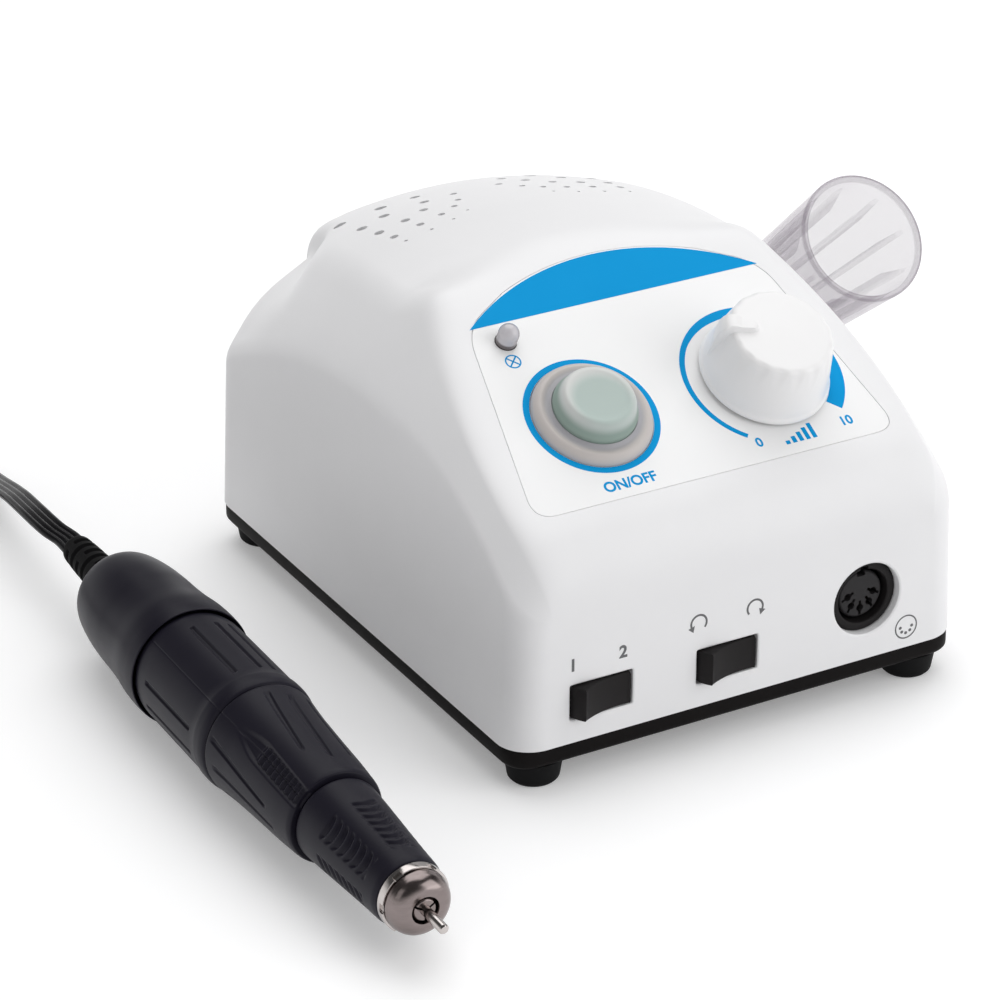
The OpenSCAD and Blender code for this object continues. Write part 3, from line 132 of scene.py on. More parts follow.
def skin(name, rings, spot=Matrix(), loop=False):
    rings = np.asarray(rings, float)
    m, n = rings.shape[:2]
    row = np.arange(m if loop else m - 1)[:, None]
    here = np.arange(n)[None, :]
    after = (row + 1) % m * n
    ahead = (here + 1) % n
    corners = np.broadcast_arrays(row * n + here, row * n + ahead, after + ahead, after + here)
    faces = np.stack(corners, -1).reshape(-1, 4).tolist()
    if not loop:
        faces.append(list(range(n - 1, -1, -1)))
        faces.append(list(range((m - 1) * n, m * n)))
    return newPiece(name, placed(spot, rings.reshape(-1, 3)) * mm, faces)


def rounded(points, closed=False, step=0, bends=5):
    count = len(points)
    out = []
    for i, p in enumerate(points):
        here = np.array(p[:2], float)
        if len(p) < 3 or (not closed and i in (0, count - 1)):
            out.append(here)
            continue
        ends = []
        for other in (points[i - 1], points[(i + 1) % count]):
            way = np.array(other[:2], float) - here
            length = np.linalg.norm(way)
            ends.append(here + way / length * min(p[2], 0.45 * length))
        for k in np.linspace(0, 1, bends + 1):
            out.append(ends[0] * (1 - k) ** 2 + here * 2 * k * (1 - k) + ends[1] * k * k)
    if step:
        fine = []
        for a, b in zip(out, out[1:] + ([out[0]] if closed else [])):
            parts = max(1, math.ceil(np.linalg.norm(b - a) / step))
            fine += [mix(a, b, k / parts) for k in range(parts)]
        out = fine if closed else fine + [out[-1]]
    return np.array(out)


def curved(points, per=5):
    p = np.asarray(points, float)
    p = np.vstack([2 * p[0] - p[1], p, 2 * p[-1] - p[-2]])
    out = []
    for i in range(1, len(p) - 2):
        for t in np.arange(per) / per:
            out.append(0.5 * (2 * p[i] + (p[i + 1] - p[i - 1]) * t
                              + (2 * p[i - 1] - 5 * p[i] + 4 * p[i + 1] - p[i + 2]) * t ** 2
                              + (3 * p[i] - p[i - 1] - 3 * p[i + 1] + p[i + 2]) * t ** 3))
    out.append(p[-2])
    return np.array(out)


def lathe(name, profile, spot=Matrix(), seg=96, shape=None, loop=False):
    r, z = np.array(profile, float).T
    r = np.maximum(r, 0.02)
    angle = np.arange(seg) * 2 * math.pi / seg
    rr = np.repeat(r[:, None], seg, 1)
    zz = np.repeat(z[:, None], seg, 1)
    if shape is not None:
        along = np.gradient(np.stack([r, z], -1), axis=0)
        along /= np.maximum(np.linalg.norm(along, axis=1), 1e-9)[:, None]
        lift = shape(r[:, None], z[:, None], np.degrees(angle)[None, :])
        rr = rr + lift * along[:, 1][:, None]
        zz = zz - lift * along[:, 0][:, None]
    return skin(name, np.stack([rr * np.cos(angle), rr * np.sin(angle), zz], -1), spot, loop)


def normed(rows):
    return rows / np.linalg.norm(rows, axis=1)[:, None]


def grown(outline, by):
    p = np.asarray(outline, float)
    edge = normed(np.roll(p, -1, 0) - p)
    normal = np.stack([edge[:, 1], -edge[:, 0]], -1)
    before = np.roll(normal, 1, 0)
    return p + by * (normal + before) / (1 + np.sum(normal * before, 1))[:, None]


def prism(name, outline, levels, spot=Matrix(), loop=False):
    rings = []
    for z, by in levels:
        flat = grown(outline, by)
        rings.append(np.column_stack([flat, np.full(len(flat), z)]))
    return skin(name, rings, spot, loop)


def circle(r, seg=64, at=(0, 0)):
    a = np.arange(seg) * 2 * math.pi / seg
    return np.stack([at[0] + r * np.cos(a), at[1] + r * np.sin(a)], -1)


def plate(w, h, r, at=(0, 0)):
    corners = [(w / 2, -h / 2, r), (w / 2, h / 2, r), (-w / 2, h / 2, r), (-w / 2, -h / 2, r)]
    return rounded(corners, True, bends=8) + np.array(at)


def merged(name, pieces):
    points = []
    faces = []
    for p in pieces:
        start = len(points)
        points += [v.co.copy() for v in p.data.vertices]
        faces += [[start + i for i in f.vertices] for f in p.data.polygons]
        bpy.data.objects.remove(p)
    return newPiece(name, points, faces)


def evaluated(obj):
    return bpy.data.meshes.new_from_object(obj.evaluated_get(bpy.context.evaluated_depsgraph_get()))


def carve(obj, tools, how="DIFFERENCE"):
    tool = merged("tool", tools)
    step = obj.modifiers.new("carve", "BOOLEAN")
    step.operation = how
    step.solver = "EXACT"
    step.object = tool
    shaped = evaluated(obj)
    obj.modifiers.clear()
    obj.data = shaped
    bpy.data.objects.remove(tool)


# Printed marks stand this proud of their face
ink = 0.03


def lettering(name, words, height, spot):
    curve = bpy.data.curves.new(name, "FONT")
    curve.body = words
    curve.size = height / 0.7
    curve.align_x = "CENTER"
    curve.align_y = "CENTER"
    curve.extrude = ink / 2
    curve.offset = 0.045 * height
    source = bpy.data.objects.new(name + "Source", curve)
    scene.collection.objects.link(source)
    mesh = evaluated(source)
    bpy.data.objects.remove(source)
    points = placed(spot, [tuple(v.co) for v in mesh.vertices]) * mm
    faces = [list(f.vertices) for f in mesh.polygons]
    return newPiece(name, points, faces)


def aimed(obj, eye, target):
    scene.collection.objects.link(obj)
    obj.location = eye
    obj.rotation_euler = (Vector(target) - Vector(eye)).to_track_quat("-Z", "Y").to_euler()


# The camera stands where the photo was taken from
view = {"eye": (-449.1, -751.6, 466.6), "target": (-26.5, -9.7, 38.1), "lens": 146.44}
camera = bpy.data.objects.new("camera", bpy.data.cameras.new("camera"))
aimed(camera, Vector(view["eye"]) * mm, Vector(view["target"]) * mm)
camera.data.lens = view["lens"]
camera.data.sensor_width = 36
scene.camera = camera
print("camera set")


class Value:
    def __init__(self, graph, socket):
        self.graph = graph
        self.socket = socket

    def math(self, kind, *others):
        return self.graph.node("ShaderNodeMath", (self, *others), operation=kind)

    def __add__(self, other):
        return self.math("ADD", other)

    def __sub__(self, other):
        return self.math("SUBTRACT", other)

    def __mul__(self, other):
        return self.math("MULTIPLY", other)


class Graph:
    def __init__(self, tree):
        self.tree = tree

    def node(self, kind, inputs, output=0, **settings):
        made = self.tree.nodes.new(kind)
        for key, value in settings.items():
            setattr(made, key, value)
        for key, value in inputs.items() if isinstance(inputs, dict) else enumerate(inputs):
            self.feed(made.inputs[key], value)
        return Value(self, made.outputs[output])

    def feed(self, socket, value):
        if isinstance(value, Value):
            self.tree.links.new(value.socket, socket)
        else:
            socket.default_value = value

    def seen(self):
        kinds = ("Camera", "Glossy", "Transmission")
        rays = [self.node("ShaderNodeLightPath", {}, f"Is {kind} Ray") for kind in kinds]
        return rays[0].math("MAXIMUM", rays[1]).math("MAXIMUM", rays[2])


# Noise scales of colour, gloss, grain and brushed lines, and the depths of the last two in metres
texture = {"tint": 60, "gloss": 140, "grain": 2600, "lines": 400, "grainDepth": 0.0001, "lineDepth": 0.00005}


class Finish(Graph):
    def __init__(self, name, fixed):
        self.material = bpy.data.materials.new(name)
        self.material.use_nodes = True
        super().__init__(self.material.node_tree)
        self.shader = self.tree.nodes["Principled BSDF"]
        for key, value in fixed.items():
            self.shader.inputs[key].default_value = value
        self.spot = self.node("ShaderNodeTexCoord", {}, "Object")

    def paint(self, varying):
        for key, value in varying.items():
            self.feed(self.shader.inputs[key], value)

    def noise(self, scale, detail=2, spot=None):
        return self.node("ShaderNodeTexNoise", {"Vector": spot or self.spot, "Scale": scale, "Detail": detail})

    def between(self, factor, a, b):
        colours = [c if isinstance(c, Value) else (*c, 1) for c in (a, b)]
        return self.node("ShaderNodeMix", {0: factor, 6: colours[0], 7: colours[1]}, 2, data_type="RGBA")

    def tint(self, factor, a, b):
        self.paint({"Base Color": self.between(factor, a, b)})

    def rough(self, low, high):
        self.paint({"Roughness": self.noise(texture["gloss"]) * (high - low) + low})

    def grain(self, height, strength, depth):
        bump = self.node("ShaderNodeBump", {"Height": height, "Strength": strength, "Distance": depth})
        self.paint({"Normal": bump})

    def vector(self, kind, a, b, output=0):
        return self.node("ShaderNodeVectorMath", (a, b), output, operation=kind)

    def ramp(self, value, low, high):
        limits = {"Value": value, "From Min": low, "From Max": high}
        return self.node("ShaderNodeMapRange", limits, interpolation_type="SMOOTHSTEP")

    def roundAxis(self, spot):
        away = self.vector("SUBTRACT", self.spot, tuple(v * mm for v in spot.translation))
        height = self.vector("DOT_PRODUCT", away, tuple(spot.col[2][:3]), "Value")
        square = self.vector("DOT_PRODUCT", away, away, "Value")
        return (square - height * height).math("SQRT"), height


def surfaced(name, rough, grain, fixed={}):
    f = Finish(name, fixed)
    f.rough(*rough)
    f.grain(f.noise(texture["grain"]), grain, texture["grainDepth"])
    return f


def moulded(name, dark, light, rough, grain, fixed={}):
    f = surfaced(name, rough, grain, fixed)
    f.tint(f.noise(texture["tint"], 3), dark, light)
    return f


def metal(name, dark, light, rough, stretch):
    f = Finish(name, {"Metallic": 1.0})
    along = f.node("ShaderNodeMapping", {"Vector": f.spot, "Scale": stretch})
    lines = f.noise(texture["lines"], 3, along)
    f.tint(lines, dark, light)
    f.paint({"Roughness": lines * (rough[1] - rough[0]) + rough[0]})
    f.grain(lines, 0.08, texture["lineDepth"])
    return f


def shine(level):
    return {"Specular IOR Level": level}


def inCamel(slot):
    first, *others = slot.split("_")
    return first + "".join(word.capitalize() for word in others)


# One finish for each material slot of the record: its two colours, its range of roughness, and its grain or, for a
# metal, the stretch of its lines. The blacks shine less than the pale mouldings
dull = shine(0.1)
mouldings = {
    "housing_white": ((0.85, 0.848, 0.86), (0.88, 0.878, 0.888), (0.36, 0.44), 0.05),
    "tray_grey": ((0.007, 0.006, 0.006), (0.01, 0.0088, 0.0088), (0.42, 0.55), 0.12, shine(0.05)),
    "rubber_black": ((0.006, 0.006, 0.0065), (0.01, 0.01, 0.0105), (0.6, 0.75), 0.15, dull),
    "label_film": ((0.9, 0.9, 0.903), (0.92, 0.92, 0.923), (0.28, 0.36), 0.02),
    "knob_white": ((0.89, 0.885, 0.888), (0.91, 0.905, 0.908), (0.26, 0.34), 0.03),
    "board_green": ((0.012, 0.1, 0.045), (0.02, 0.15, 0.07), (0.3, 0.5), 0.1),
    "part_dark": ((0.015, 0.017, 0.025), (0.03, 0.033, 0.045), (0.35, 0.5), 0.06),
    "black_plastic": ((0.013, 0.0118, 0.012), (0.018, 0.0163, 0.0168), (0.4, 0.52), 0.04, dull),
    "hand_black": ((0.0105, 0.0095, 0.0165), (0.0145, 0.0132, 0.0215), (0.33, 0.42), 0.07, shine(0.14)),
    "cord_black": ((0.004, 0.004, 0.005), (0.007, 0.007, 0.008), (0.2, 0.3), 0.03, shine(0.2)),
    "tie_grey": ((0.16, 0.16, 0.165), (0.21, 0.21, 0.215), (0.4, 0.55), 0.05),
    "magnet_grey": ((0.05, 0.05, 0.055), (0.08, 0.08, 0.085), (0.5, 0.65), 0.2),
}
metals = {
    "steel": ((0.2, 0.167, 0.163), (0.29, 0.246, 0.238), (0.18, 0.27), (1, 1, 6)),
    "bright_steel": ((0.5, 0.46, 0.445), (0.62, 0.58, 0.565), (0.12, 0.2), (1, 1, 6)),
    "sink_grey": ((0.4, 0.4, 0.41), (0.5, 0.5, 0.51), (0.4, 0.5), (1, 8, 1)),
    "core_grey": ((0.2, 0.2, 0.21), (0.28, 0.28, 0.29), (0.4, 0.55), (1, 8, 1)),
    "coil_wound": ((0.5, 0.21, 0.1), (0.62, 0.29, 0.15), (0.3, 0.45), (1, 1, 12)),
    "contact_gold": ((0.34, 0.25, 0.12), (0.42, 0.32, 0.17), (0.2, 0.3), (1, 1, 4)),
}
finishes = {
    "boot_grey": surfaced("bootGrey", (0.38, 0.5), 0.05),
    "button_green": surfaced("buttonGreen", (0.4, 0.5), 0.04),
    **{slot: moulded(inCamel(slot), *spec) for slot, spec in mouldings.items()},
    **{slot: metal(inCamel(slot), *spec) for slot, spec in metals.items()},
}
lampLook = Finish("lampClear", shine(0.6))
lampLook.rough(0.05, 0.1)
finishes["lamp_clear"] = lampLook
printBlue = moulded("printBlue", (0.004, 0.3, 0.67), (0.006, 0.33, 0.71), (0.4, 0.5), 0.02, shine(0.03))
printGrey = moulded("printGrey", (0.1, 0.1, 0.105), (0.13, 0.13, 0.135), (0.35, 0.45), 0.02)
socketGrey = moulded("socketGrey", (0.027, 0.026, 0.027), (0.035, 0.0335, 0.035), (0.3, 0.4), 0.05, dull)
print("finishes made", len(finishes))


def keep(obj, body, slot, nodes=(), sharp=35, finish=None):
    obj.data.shade_smooth()
    obj.data.set_sharp_from_angle(angle=math.radians(sharp))
    obj.data.materials.clear()
    obj.data.materials.append((finish or finishes[slot]).material)
    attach(obj, body)
    if nodes:
        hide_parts(*nodes)
    return obj


# The flat cord: four strands side by side, from the strain relief to a coil of two layers
cord = {
    "free": [(-0.5, 34, 16.1), (-0.5, 40, 15.8), (-0.1, 47, 15.2), (0.6, 54, 14.2), (1.4, 61, 13), (2.2, 68, 11.4),
             (3, 76, 9.4), (3.9, 83, 7.5), (4.8, 90, 5.8), (5.5, 97, 4.1), (5.9, 104, 2.7), (6, 111, 1.7),
             (6, 118, 1.1)],
    "reliefL": 23, "sunk": 3, "lead": 5.4, "freeW": 6.9, "coilW": 5.4, "taper": 45, "strandPitch": 0.875,
    "coilStart": (6, 126), "coilR": 41.5, "pitch": 6, "turns": 3, "layers": (0.85, 2.55), "plugZ": 7.6, "tail": 14,
}
coilAt = np.array([handAt.x + cord["coilStart"][0] - cord["coilR"], handAt.y + cord["coilStart"][1], 0])


def coilPoints():
    down = 360 * cord["turns"]
    a = np.arange(0, 2 * down + 182.5, 5)
    inner = cord["coilR"] - cord["pitch"] * cord["turns"]
    turn = np.clip(a - down, 0, 180)
    r = np.where(a < down, cord["coilR"] - cord["pitch"] * a / 360,
                 np.where(a < down + 180, inner - cord["pitch"] / 2 * np.sin(np.radians(turn)),
                          inner + cord["pitch"] * (a - down - 180) / 360))
    z = mix(cord["layers"][0], cord["layers"][1], smooth((turn - 40) / 100))
    return coilAt + np.stack([r * np.cos(np.radians(a)), r * np.sin(np.radians(a)), z], -1)


reliefEnd = np.array(handAt - handAxis * cord["reliefL"])
coilLine = coilPoints()
freeLine = [reliefEnd + np.array(handAxis) * cord["sunk"], reliefEnd, reliefEnd - np.array(handAxis) * cord["lead"]]
freeLine += [np.array((handAt.x + x, handAt.y + y, z)) for x, y, z in cord["free"]]
freeLine = curved(freeLine + [coilLine[0]])
tailRise = cord["plugZ"] - cord["layers"][1]
tailLine = [coilLine[-1] + np.array((0, -t * cord["tail"], tailRise * smooth(t))) for t in np.arange(1, 9) / 8]
plugAt = tailLine[-1] + np.array((0, -cord["lead"], 0))
cordLine = np.vstack([freeLine, coilLine[1:], tailLine, [plugAt, plugAt + np.array((0, -cord["sunk"], 0))]])
cordAlong = normed(np.gradient(cordLine, axis=0))
cordSide = normed(np.cross(cordAlong, (0, 0, 1)))
cordUp = np.cross(cordSide, cordAlong)

# Each strand's share of the outline: its place from the middle, and the arc that it shows
strand = []
for centre, low, high in ((3, -151, 151), (1, 29, 151), (-1, 29, 151), (-3, 29, 331), (-1, 209, 331), (1, 209, 331)):
    for a in np.linspace(low, high, max(5, round((high - low) / 22))):
        strand.append((centre * cord["strandPitch"] + math.cos(math.radians(a)), math.sin(math.radians(a))))
strand = np.array(strand) / (6 * cord["strandPitch"] + 2)
run = np.concatenate([[0], np.cumsum(np.linalg.norm(np.diff(cordLine, axis=0), axis=1))])
freeRun = run[len(freeLine) - 1]
width = mix(cord["freeW"], cord["coilW"], smooth((run - freeRun + cord["taper"]) / cord["taper"]))[:, None, None]
across = strand[None, :, 0, None] * cordSide[:, None, :]
upward = strand[None, :, 1, None] * cordUp[:, None, :]
rings = cordLine[:, None, :] + width * (across + upward)
flatCord = keep(skin("flatCord", rings[:, ::-1]), "handpiece", "cord_black", ("motor_cord", "cord_coil"), 60)


# Housing: the model's loft in finer steps, with rounded mouths, a soft lower edge, and, after the photo, a fuller
# crown at the crest and fuller rear shoulders
def panelAt(y):
    return unit["rowZ"] + (y - unit["rowY"]) * math.tan(unit["tilt"])


frontY = unit["frontR"] - halfD
frontC = panelAt(frontY) - unit["frontR"] / tiltCos
crestY = halfD - unit["crestBack"]
crestC = panelAt(crestY) - unit["crestR"] / tiltCos
crestZ = crestC + unit["crestR"]
panelEnd = crestY - unit["crestR"] * tiltSin


def roofAt(y, inset):
    r = unit["frontR"] - inset
    if y < frontY - r * tiltSin:
        return frontC + math.sqrt(max(0, r * r - (y - frontY) ** 2))
    r = unit["crestR"] - inset
    if y < crestY - r * tiltSin:
        return panelAt(y) - inset / tiltCos
    if y < crestY:
        return crestC + math.sqrt(r * r - (y - crestY) ** 2)
    return crestZ - inset - unit["roofR"] + math.sqrt(unit["roofR"] ** 2 - (y - crestY) ** 2)


def creaseAt(y):
    ahead = unit["creaseY"] - y
    if ahead < 0:
        return unit["creaseZ"] - ahead ** 2 / unit["creaseBow"]
    return unit["creaseZ"] - unit["creaseDrop"] * (ahead / (halfD - unit["creaseEnd"])) ** 2.7


def drawIn(y, r, inset):
    d = halfD - inset - abs(y)
    return r - math.sqrt(max(0, r * r - (r - d) ** 2)) if d < r else 0


def eased(a, p, b, length, steps):
    return [np.array(q) for q in rounded([a, (*p, length), b], bends=steps)[1:-1]]


def halfSection(y, inset, foot):
    half = unit["halfW"] - inset - drawIn(y, max(unit["cornerR"] - inset, 1.5), inset)
    drop = drawIn(y, max(unit["rearR"] - inset, 1), inset) if y > 0 else 0
    zr = roofAt(y, inset) - drop
    zc = min(creaseAt(y) - 0.3 * inset - drop, zr - 1)
    xc = half - (zc - unit["foot"]) * unit["draft"]
    c = unit["crown"] * smooth((y - panelEnd + unit["crownFrom"]) / unit["crownOver"])
    lean = unit["bevel"]
    a = zc + lean * xc - zr
    t = smooth((y - halfD + unit["humpFrom"]) / unit["humpOver"])
    xb = a / lean if c < 1e-6 else (lean - math.sqrt(lean ** 2 - 4 * c * a)) / (2 * c)
    xe = mix(xb, min(xb, unit["humpW"] - inset), t)
    edge = np.array((xe, zr - c * xe * xe))
    crease = np.array((xc, zc))
    bevel = mix(crease, np.array((xb, zr - c * xb * xb)), 0.5)
    swell = np.array(unit["swell"]) * smooth((y + unit["swellFrom"]) / unit["swellOver"])
    step = mix(bevel + swell * 0.8, edge + np.array((0.6, -unit["humpH"])), t)
    belly = mix(crease, step, 0.5) + swell * mix(*unit["bellies"], t)
    low = np.array((half - (foot - unit["foot"]) * unit["draft"], foot))
    inner = np.array((xe * 0.55, zr - c * (xe * 0.55) ** 2))
    top = eased(step, edge, inner, 5.5, 12)
    out = [low] if inset else [low - np.array((0.5, 0)), low + np.array((-0.15, 0.12)), low + np.array((0, 0.5))]
    out += [mix(low, crease, k) for k in (0.25, 0.5, 0.75)]
    out += eased(low, crease, belly, 3, 8) + eased(crease, belly, step, 8, 8) + eased(belly, step, edge, 2.5, 8) + top
    x = top[-1][0]
    return out + [np.array((x * k, zr - c * (x * k) ** 2)) for k in np.linspace(1, 0, 9)[1:]]


def housingSkin(name, inset, foot):
    f = inset - halfD
    corner = max(unit["cornerR"] - inset, 1.5)
    turn = np.radians(np.linspace(0, 90, 13))
    ys = list(f + corner * (1 - np.cos(turn)))
    ys += list(np.linspace(f + corner, panelEnd, 28)[1:]) + list(np.linspace(panelEnd, crestY, 13)[1:])
    ys += list(np.linspace(crestY, -f - corner, 30)[1:]) + list(-f - corner * (1 - np.cos(turn[::-1])))[1:]
    rings = []
    for y in ys:
        side = halfSection(y, inset, foot)
        rings.append([(p[0], y, p[1]) for p in side] + [(-p[0], y, p[1]) for p in side[-2::-1]])
    rings = np.array(rings)
    first, last = (mix(ring, ring.mean(0), 0.01)[None] for ring in (rings[0], rings[-1]))
    return skin(name, np.vstack([first, rings, last])[:, ::-1])


def cutter(outline, levels, spot):
    return prism("cut", outline, levels, spot)


def cutOut(obj, outline, levels, *spots):
    carve(obj, [cutter(outline, levels, spot) for spot in spots])


def mouth(depth, lip=0.4):
    return [(-depth, 0), (-lip, 0), (-lip * 0.45, lip * 0.18), (0, lip), (2, lip * 4)]


# Panel film: half widths and heights of its lower and upper corners, and the arc over them
film = {"lowW": 48.3, "highW": 39.3, "low": -22.9, "high": 30.3, "lowR": 6, "highR": 7, "peak": 43.3, "rise": 13,
        "trim": 0.23}


def labelArc(half, peak, trim):
    r = (film["highW"] ** 2 + film["rise"] ** 2) / (2 * film["rise"])
    turn = math.acos(half / r) + trim
    return [(r * math.cos(a), peak - r + r * math.sin(a)) for a in np.linspace(turn, math.pi - turn, 41)]


def labelOutline(by=0):
    low = (film["lowW"] + by, film["low"] - by)
    high = (film["highW"] + by, film["high"] + by)
    arc = labelArc(high[0], film["peak"] + by, film["trim"])
    side = list(rounded([(0, low[1]), (*low, film["lowR"]), (*high, film["highR"]), arc[0]], bends=10)[1:-1])
    return np.array(side + arc + [(-p[0], p[1]) for p in side[::-1]])


panelHoles = {
    "button": (-21.9, 0, 14.5),
    "bush": (joints["knob_turn"]["pos_m"][0] / mm, 0, 3.65),
    "lamp": (-31.9, 24.7, 2.65),
}
windows = {"handFoot": -37.9, "direction": -4.7, "w": 16.3, "h": 8.8, "z": 21}
socket = {"x": 33.3, "z": 26.4, "r": 9, "contactR": 3.5, "coreR": 6.2, "coreY": 2.4}
back = {"z": 30, "inlet": -26, "fuse": 8, "jack": 34}
vents = [
    (31.5, 60, 1.6), (32, 47.5, 1.35), (31.7, 39.2, 1.25), (31.2, 32.6, 1.05), (30.8, 27.4, 0.5), (21, 58.6, 1.55),
    (24.7, 49.8, 1.35), (24.3, 39.8, 1.2), (23.8, 33.2, 1), (23.8, 27.6, 0.5), (12.1, 57.4, 1.3), (14.1, 49, 1.2),
    (17.9, 42.4, 1.1), (17.3, 34.6, 0.9), (17.2, 28.8, 0.45), (6.3, 48.5, 0.95), (8.9, 41.6, 0.85),
    (12.3, 37.4, 0.85), (11.9, 31.6, 0.4)
]
pad = {"r": 6.5, "hole": 2.05, "washer": 0.8, "x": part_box("holder_washer")[0].x / mm, "y": 20, "z": 60}


def onSide(x):
    return place((x, pad["y"], pad["z"]), (0, 1, 0), (1, 0, 0))


housing = housingSkin("housing", 0, unit["foot"])
carve(housing, [housingSkin("cut", unit["wall"], unit["foot"] - 1)])
padSpot = onSide(pad["x"])
carve(housing, [lathe("pad", rounded([(0, -5.6), (pad["r"], -5.6), (pad["r"], 0, 0.5), (0, 0)]), padSpot)], "UNION")
cutOut(housing, labelOutline(0.15), [(-0.4, 0), (2, 0)], panel)
tools = [cutter(circle(r, at=(x, y)), [(-8, 0), (4, 0)], panel) for x, y, r in panelHoles.values()]
for x in (windows["handFoot"], windows["direction"]):
    tools.append(cutter(plate(windows["w"], windows["h"], 0.5, (x, windows["z"])), mouth(6), front))
tools.append(cutter(circle(socket["r"], 96, (socket["x"], socket["z"])), mouth(6, 0.5), front))
for hole, x in ((plate(27, 19.6, 2), back["inlet"]), (circle(6), back["fuse"]), (circle(5.5), back["jack"])):
    tools.append(cutter(hole, [(-6, 0), (1, 0)], at(rear, x, -back["z"])))
tools.append(cutter(circle(pad["hole"], 24), [(-12, 0), (4, 0)], padSpot))
for x, y, r in vents:
    for flip in (-1, 1):
        tools.append(cutter(circle(r, 20, (flip * x, y)), [(crestZ - 40, 0), (crestZ + 8, 0)], Matrix()))
carve(housing, tools)
keep(housing, "control_unit", "housing_white", ("upper_housing",), 28)
print("housing made", len(housing.data.polygons))

# Base tray with a soft lower edge, and its lip inside the housing
tray = {"w": 119.8, "d": 149.8, "r": 7.4, "lipW": 114.9, "lipD": 145.5, "lipR": 5.25, "wall": 1.5}
levels = [(5.9, -2), (5.95, -1.2), (6.2, -0.55), (6.8, -0.1), (7.4, 0), (10.3, 0), (10.55, -0.1), (10.75, -0.5)]
trayBody = prism("baseTray", plate(tray["w"], tray["d"], tray["r"]), levels)
lip = prism("lip", plate(tray["lipW"], tray["lipD"], tray["lipR"]), [(9.8, 0), (13.6, 0), (13.8, -0.2)])
carve(trayBody, [lip], "UNION")
inside = plate(tray["lipW"] - 2 * tray["wall"], tray["lipD"] - 2 * tray["wall"], tray["lipR"] - tray["wall"])
cutOut(trayBody, inside, [(8.4, -0.6), (9, 0), (30, 0)], Matrix())
keep(trayBody, "control_unit", "tray_grey", ("base_tray",), 40)

feetAt = [(x, y) for x in (-50.8, 50.8) for y in (-67.5, 67.5)]
footEdge = rounded([
    (1.65, 1.6), (3.3, 3.6), (3.3, 0, 0.3), (5.3, 0), (6, 0.7, 0.4), (6.85, 5.9, 0.3), (1.65, 5.9)
], True)
feet = [lathe("foot", footEdge, at(Matrix(), x, y), 64, loop=True) for x, y in feetAt]
keep(merged("rubberFeet", feet), "control_unit", "rubber_black", ("rubber_feet",))
print("tray and feet made")

# Panel label: white film with a blue band and plain printed marks
label = prism("panelLabel", labelOutline(), [(-0.4, 0), (-0.06, 0), (0, -0.06)], panel)
carve(label, [cutter(circle(r, at=(x, y)), [(-2, 0), (2, 0)], panel) for x, y, r in panelHoles.values()])
keep(label, "control_unit", "label_film", ("panel_label",))


def printed(obj, finish):
    return keep(obj, "control_unit", "label_film", (), 35, finish)


def flatRing(name, at, inner, outer, spot, seg=96):
    edge = [(inner, 0), (outer, 0), (outer, ink), (inner, ink)]
    return lathe(name, edge, spot @ Matrix.Translation((*at, 0)), seg, loop=True)


def flatArc(name, at, radius, thick, angles, spot):
    rings = []
    for a, t in zip(np.radians(angles), thick):
        for r, z in ((radius, 0), (radius, ink), (radius - t, ink), (radius - t, 0)):
            rings.append((at[0] + r * math.cos(a), at[1] + r * math.sin(a), z))
    return skin(name, np.array(rings).reshape(-1, 4, 3), spot)


def flatShape(name, outline, spot):
    return prism(name, outline, [(0, 0), (ink, 0)], spot)


bandOutline = np.array(labelArc(film["highW"], film["peak"], 0)) * np.array((0.985, 1)) - np.array((0, 0.35))
printed(flatShape("labelBand", bandOutline, panel), printBlue)
printed(flatRing("buttonRing", panelHoles["button"][:2], 14.55, 16.1, panel), printBlue)
speed = {"at": (23.6, -0.3), "r": 19.9, "angles": (-45, 104, 123, 140, 231), "thick": (4, 2.25, 1.8, 1.4, 1.15)}
sweep = np.linspace(speed["angles"][-1], speed["angles"][0], 93)
thick = np.interp(sweep, speed["angles"], speed["thick"])
printed(flatArc("speedArc", speed["at"], speed["r"], thick, sweep, panel), printBlue)
for name, words, height, x, y in (("markPower", "ON/OFF", 2.6, panelHoles["button"][0], -19.4),
                                  ("markLow", "0", 2.4, 13.2, -17.8), ("markHigh", "10", 2.4, 36.8, -17.8)):
    printed(lettering(name, words, height, at(panel, x, y)), printBlue)
lampSign = (-32.8, 19)
lampMark = [flatRing("lampMark", lampSign, 1.6, 1.95, panel, 48)]
for turn in (45, 135):
    lampMark.append(flatShape("lampMark", plate(3.4, 0.38, 0.05), at(panel, *lampSign, turn)))
printed(merged("lampMark", lampMark), printBlue)
bars = []
for k in range(5):
    bar = plate(1.1, 1 + 0.8 * k, 0.1, (-3.6 + 1.8 * k, 0.4 * k))
    bars.append(flatShape("bar", bar, at(panel, speed["at"][0], -19.6)))
printed(merged("speedBars", bars), printBlue)
frontUp = front @ Matrix.Translation((0, 0, 0.005))
for name, words, x in (("markHand", "1", -45.4), ("markFoot", "2", -32.4)):
    printed(lettering(name, words, 3, at(frontUp, x, 30.4)), printGrey)
arrow = {"y": 32.4, "r": 2.3, "thick": 0.5, "from": -130, "to": 110, "steps": 33}
for name, x, flip in (("arrowBack", -12.6, -1), ("arrowAhead", 2.4, 1)):
    angles = 90 - flip * np.linspace(arrow["from"], arrow["to"], arrow["steps"])
    thick = np.full(arrow["steps"], arrow["thick"])
    arc = flatArc("arc", (x, arrow["y"]), arrow["r"], thick, angles[::flip], frontUp)
    tip = math.radians(angles[-1])
    reach = arrow["r"] - arrow["thick"] / 2
    spot = at(frontUp, x + reach * math.cos(tip), arrow["y"] + reach * math.sin(tip), math.degrees(tip) - flip * 90)
    head = flatShape("head", np.array([(0, -0.9), (1.5, 0), (0, 0.9)]), spot)
    printed(merged(name, [arc, head]), printGrey)

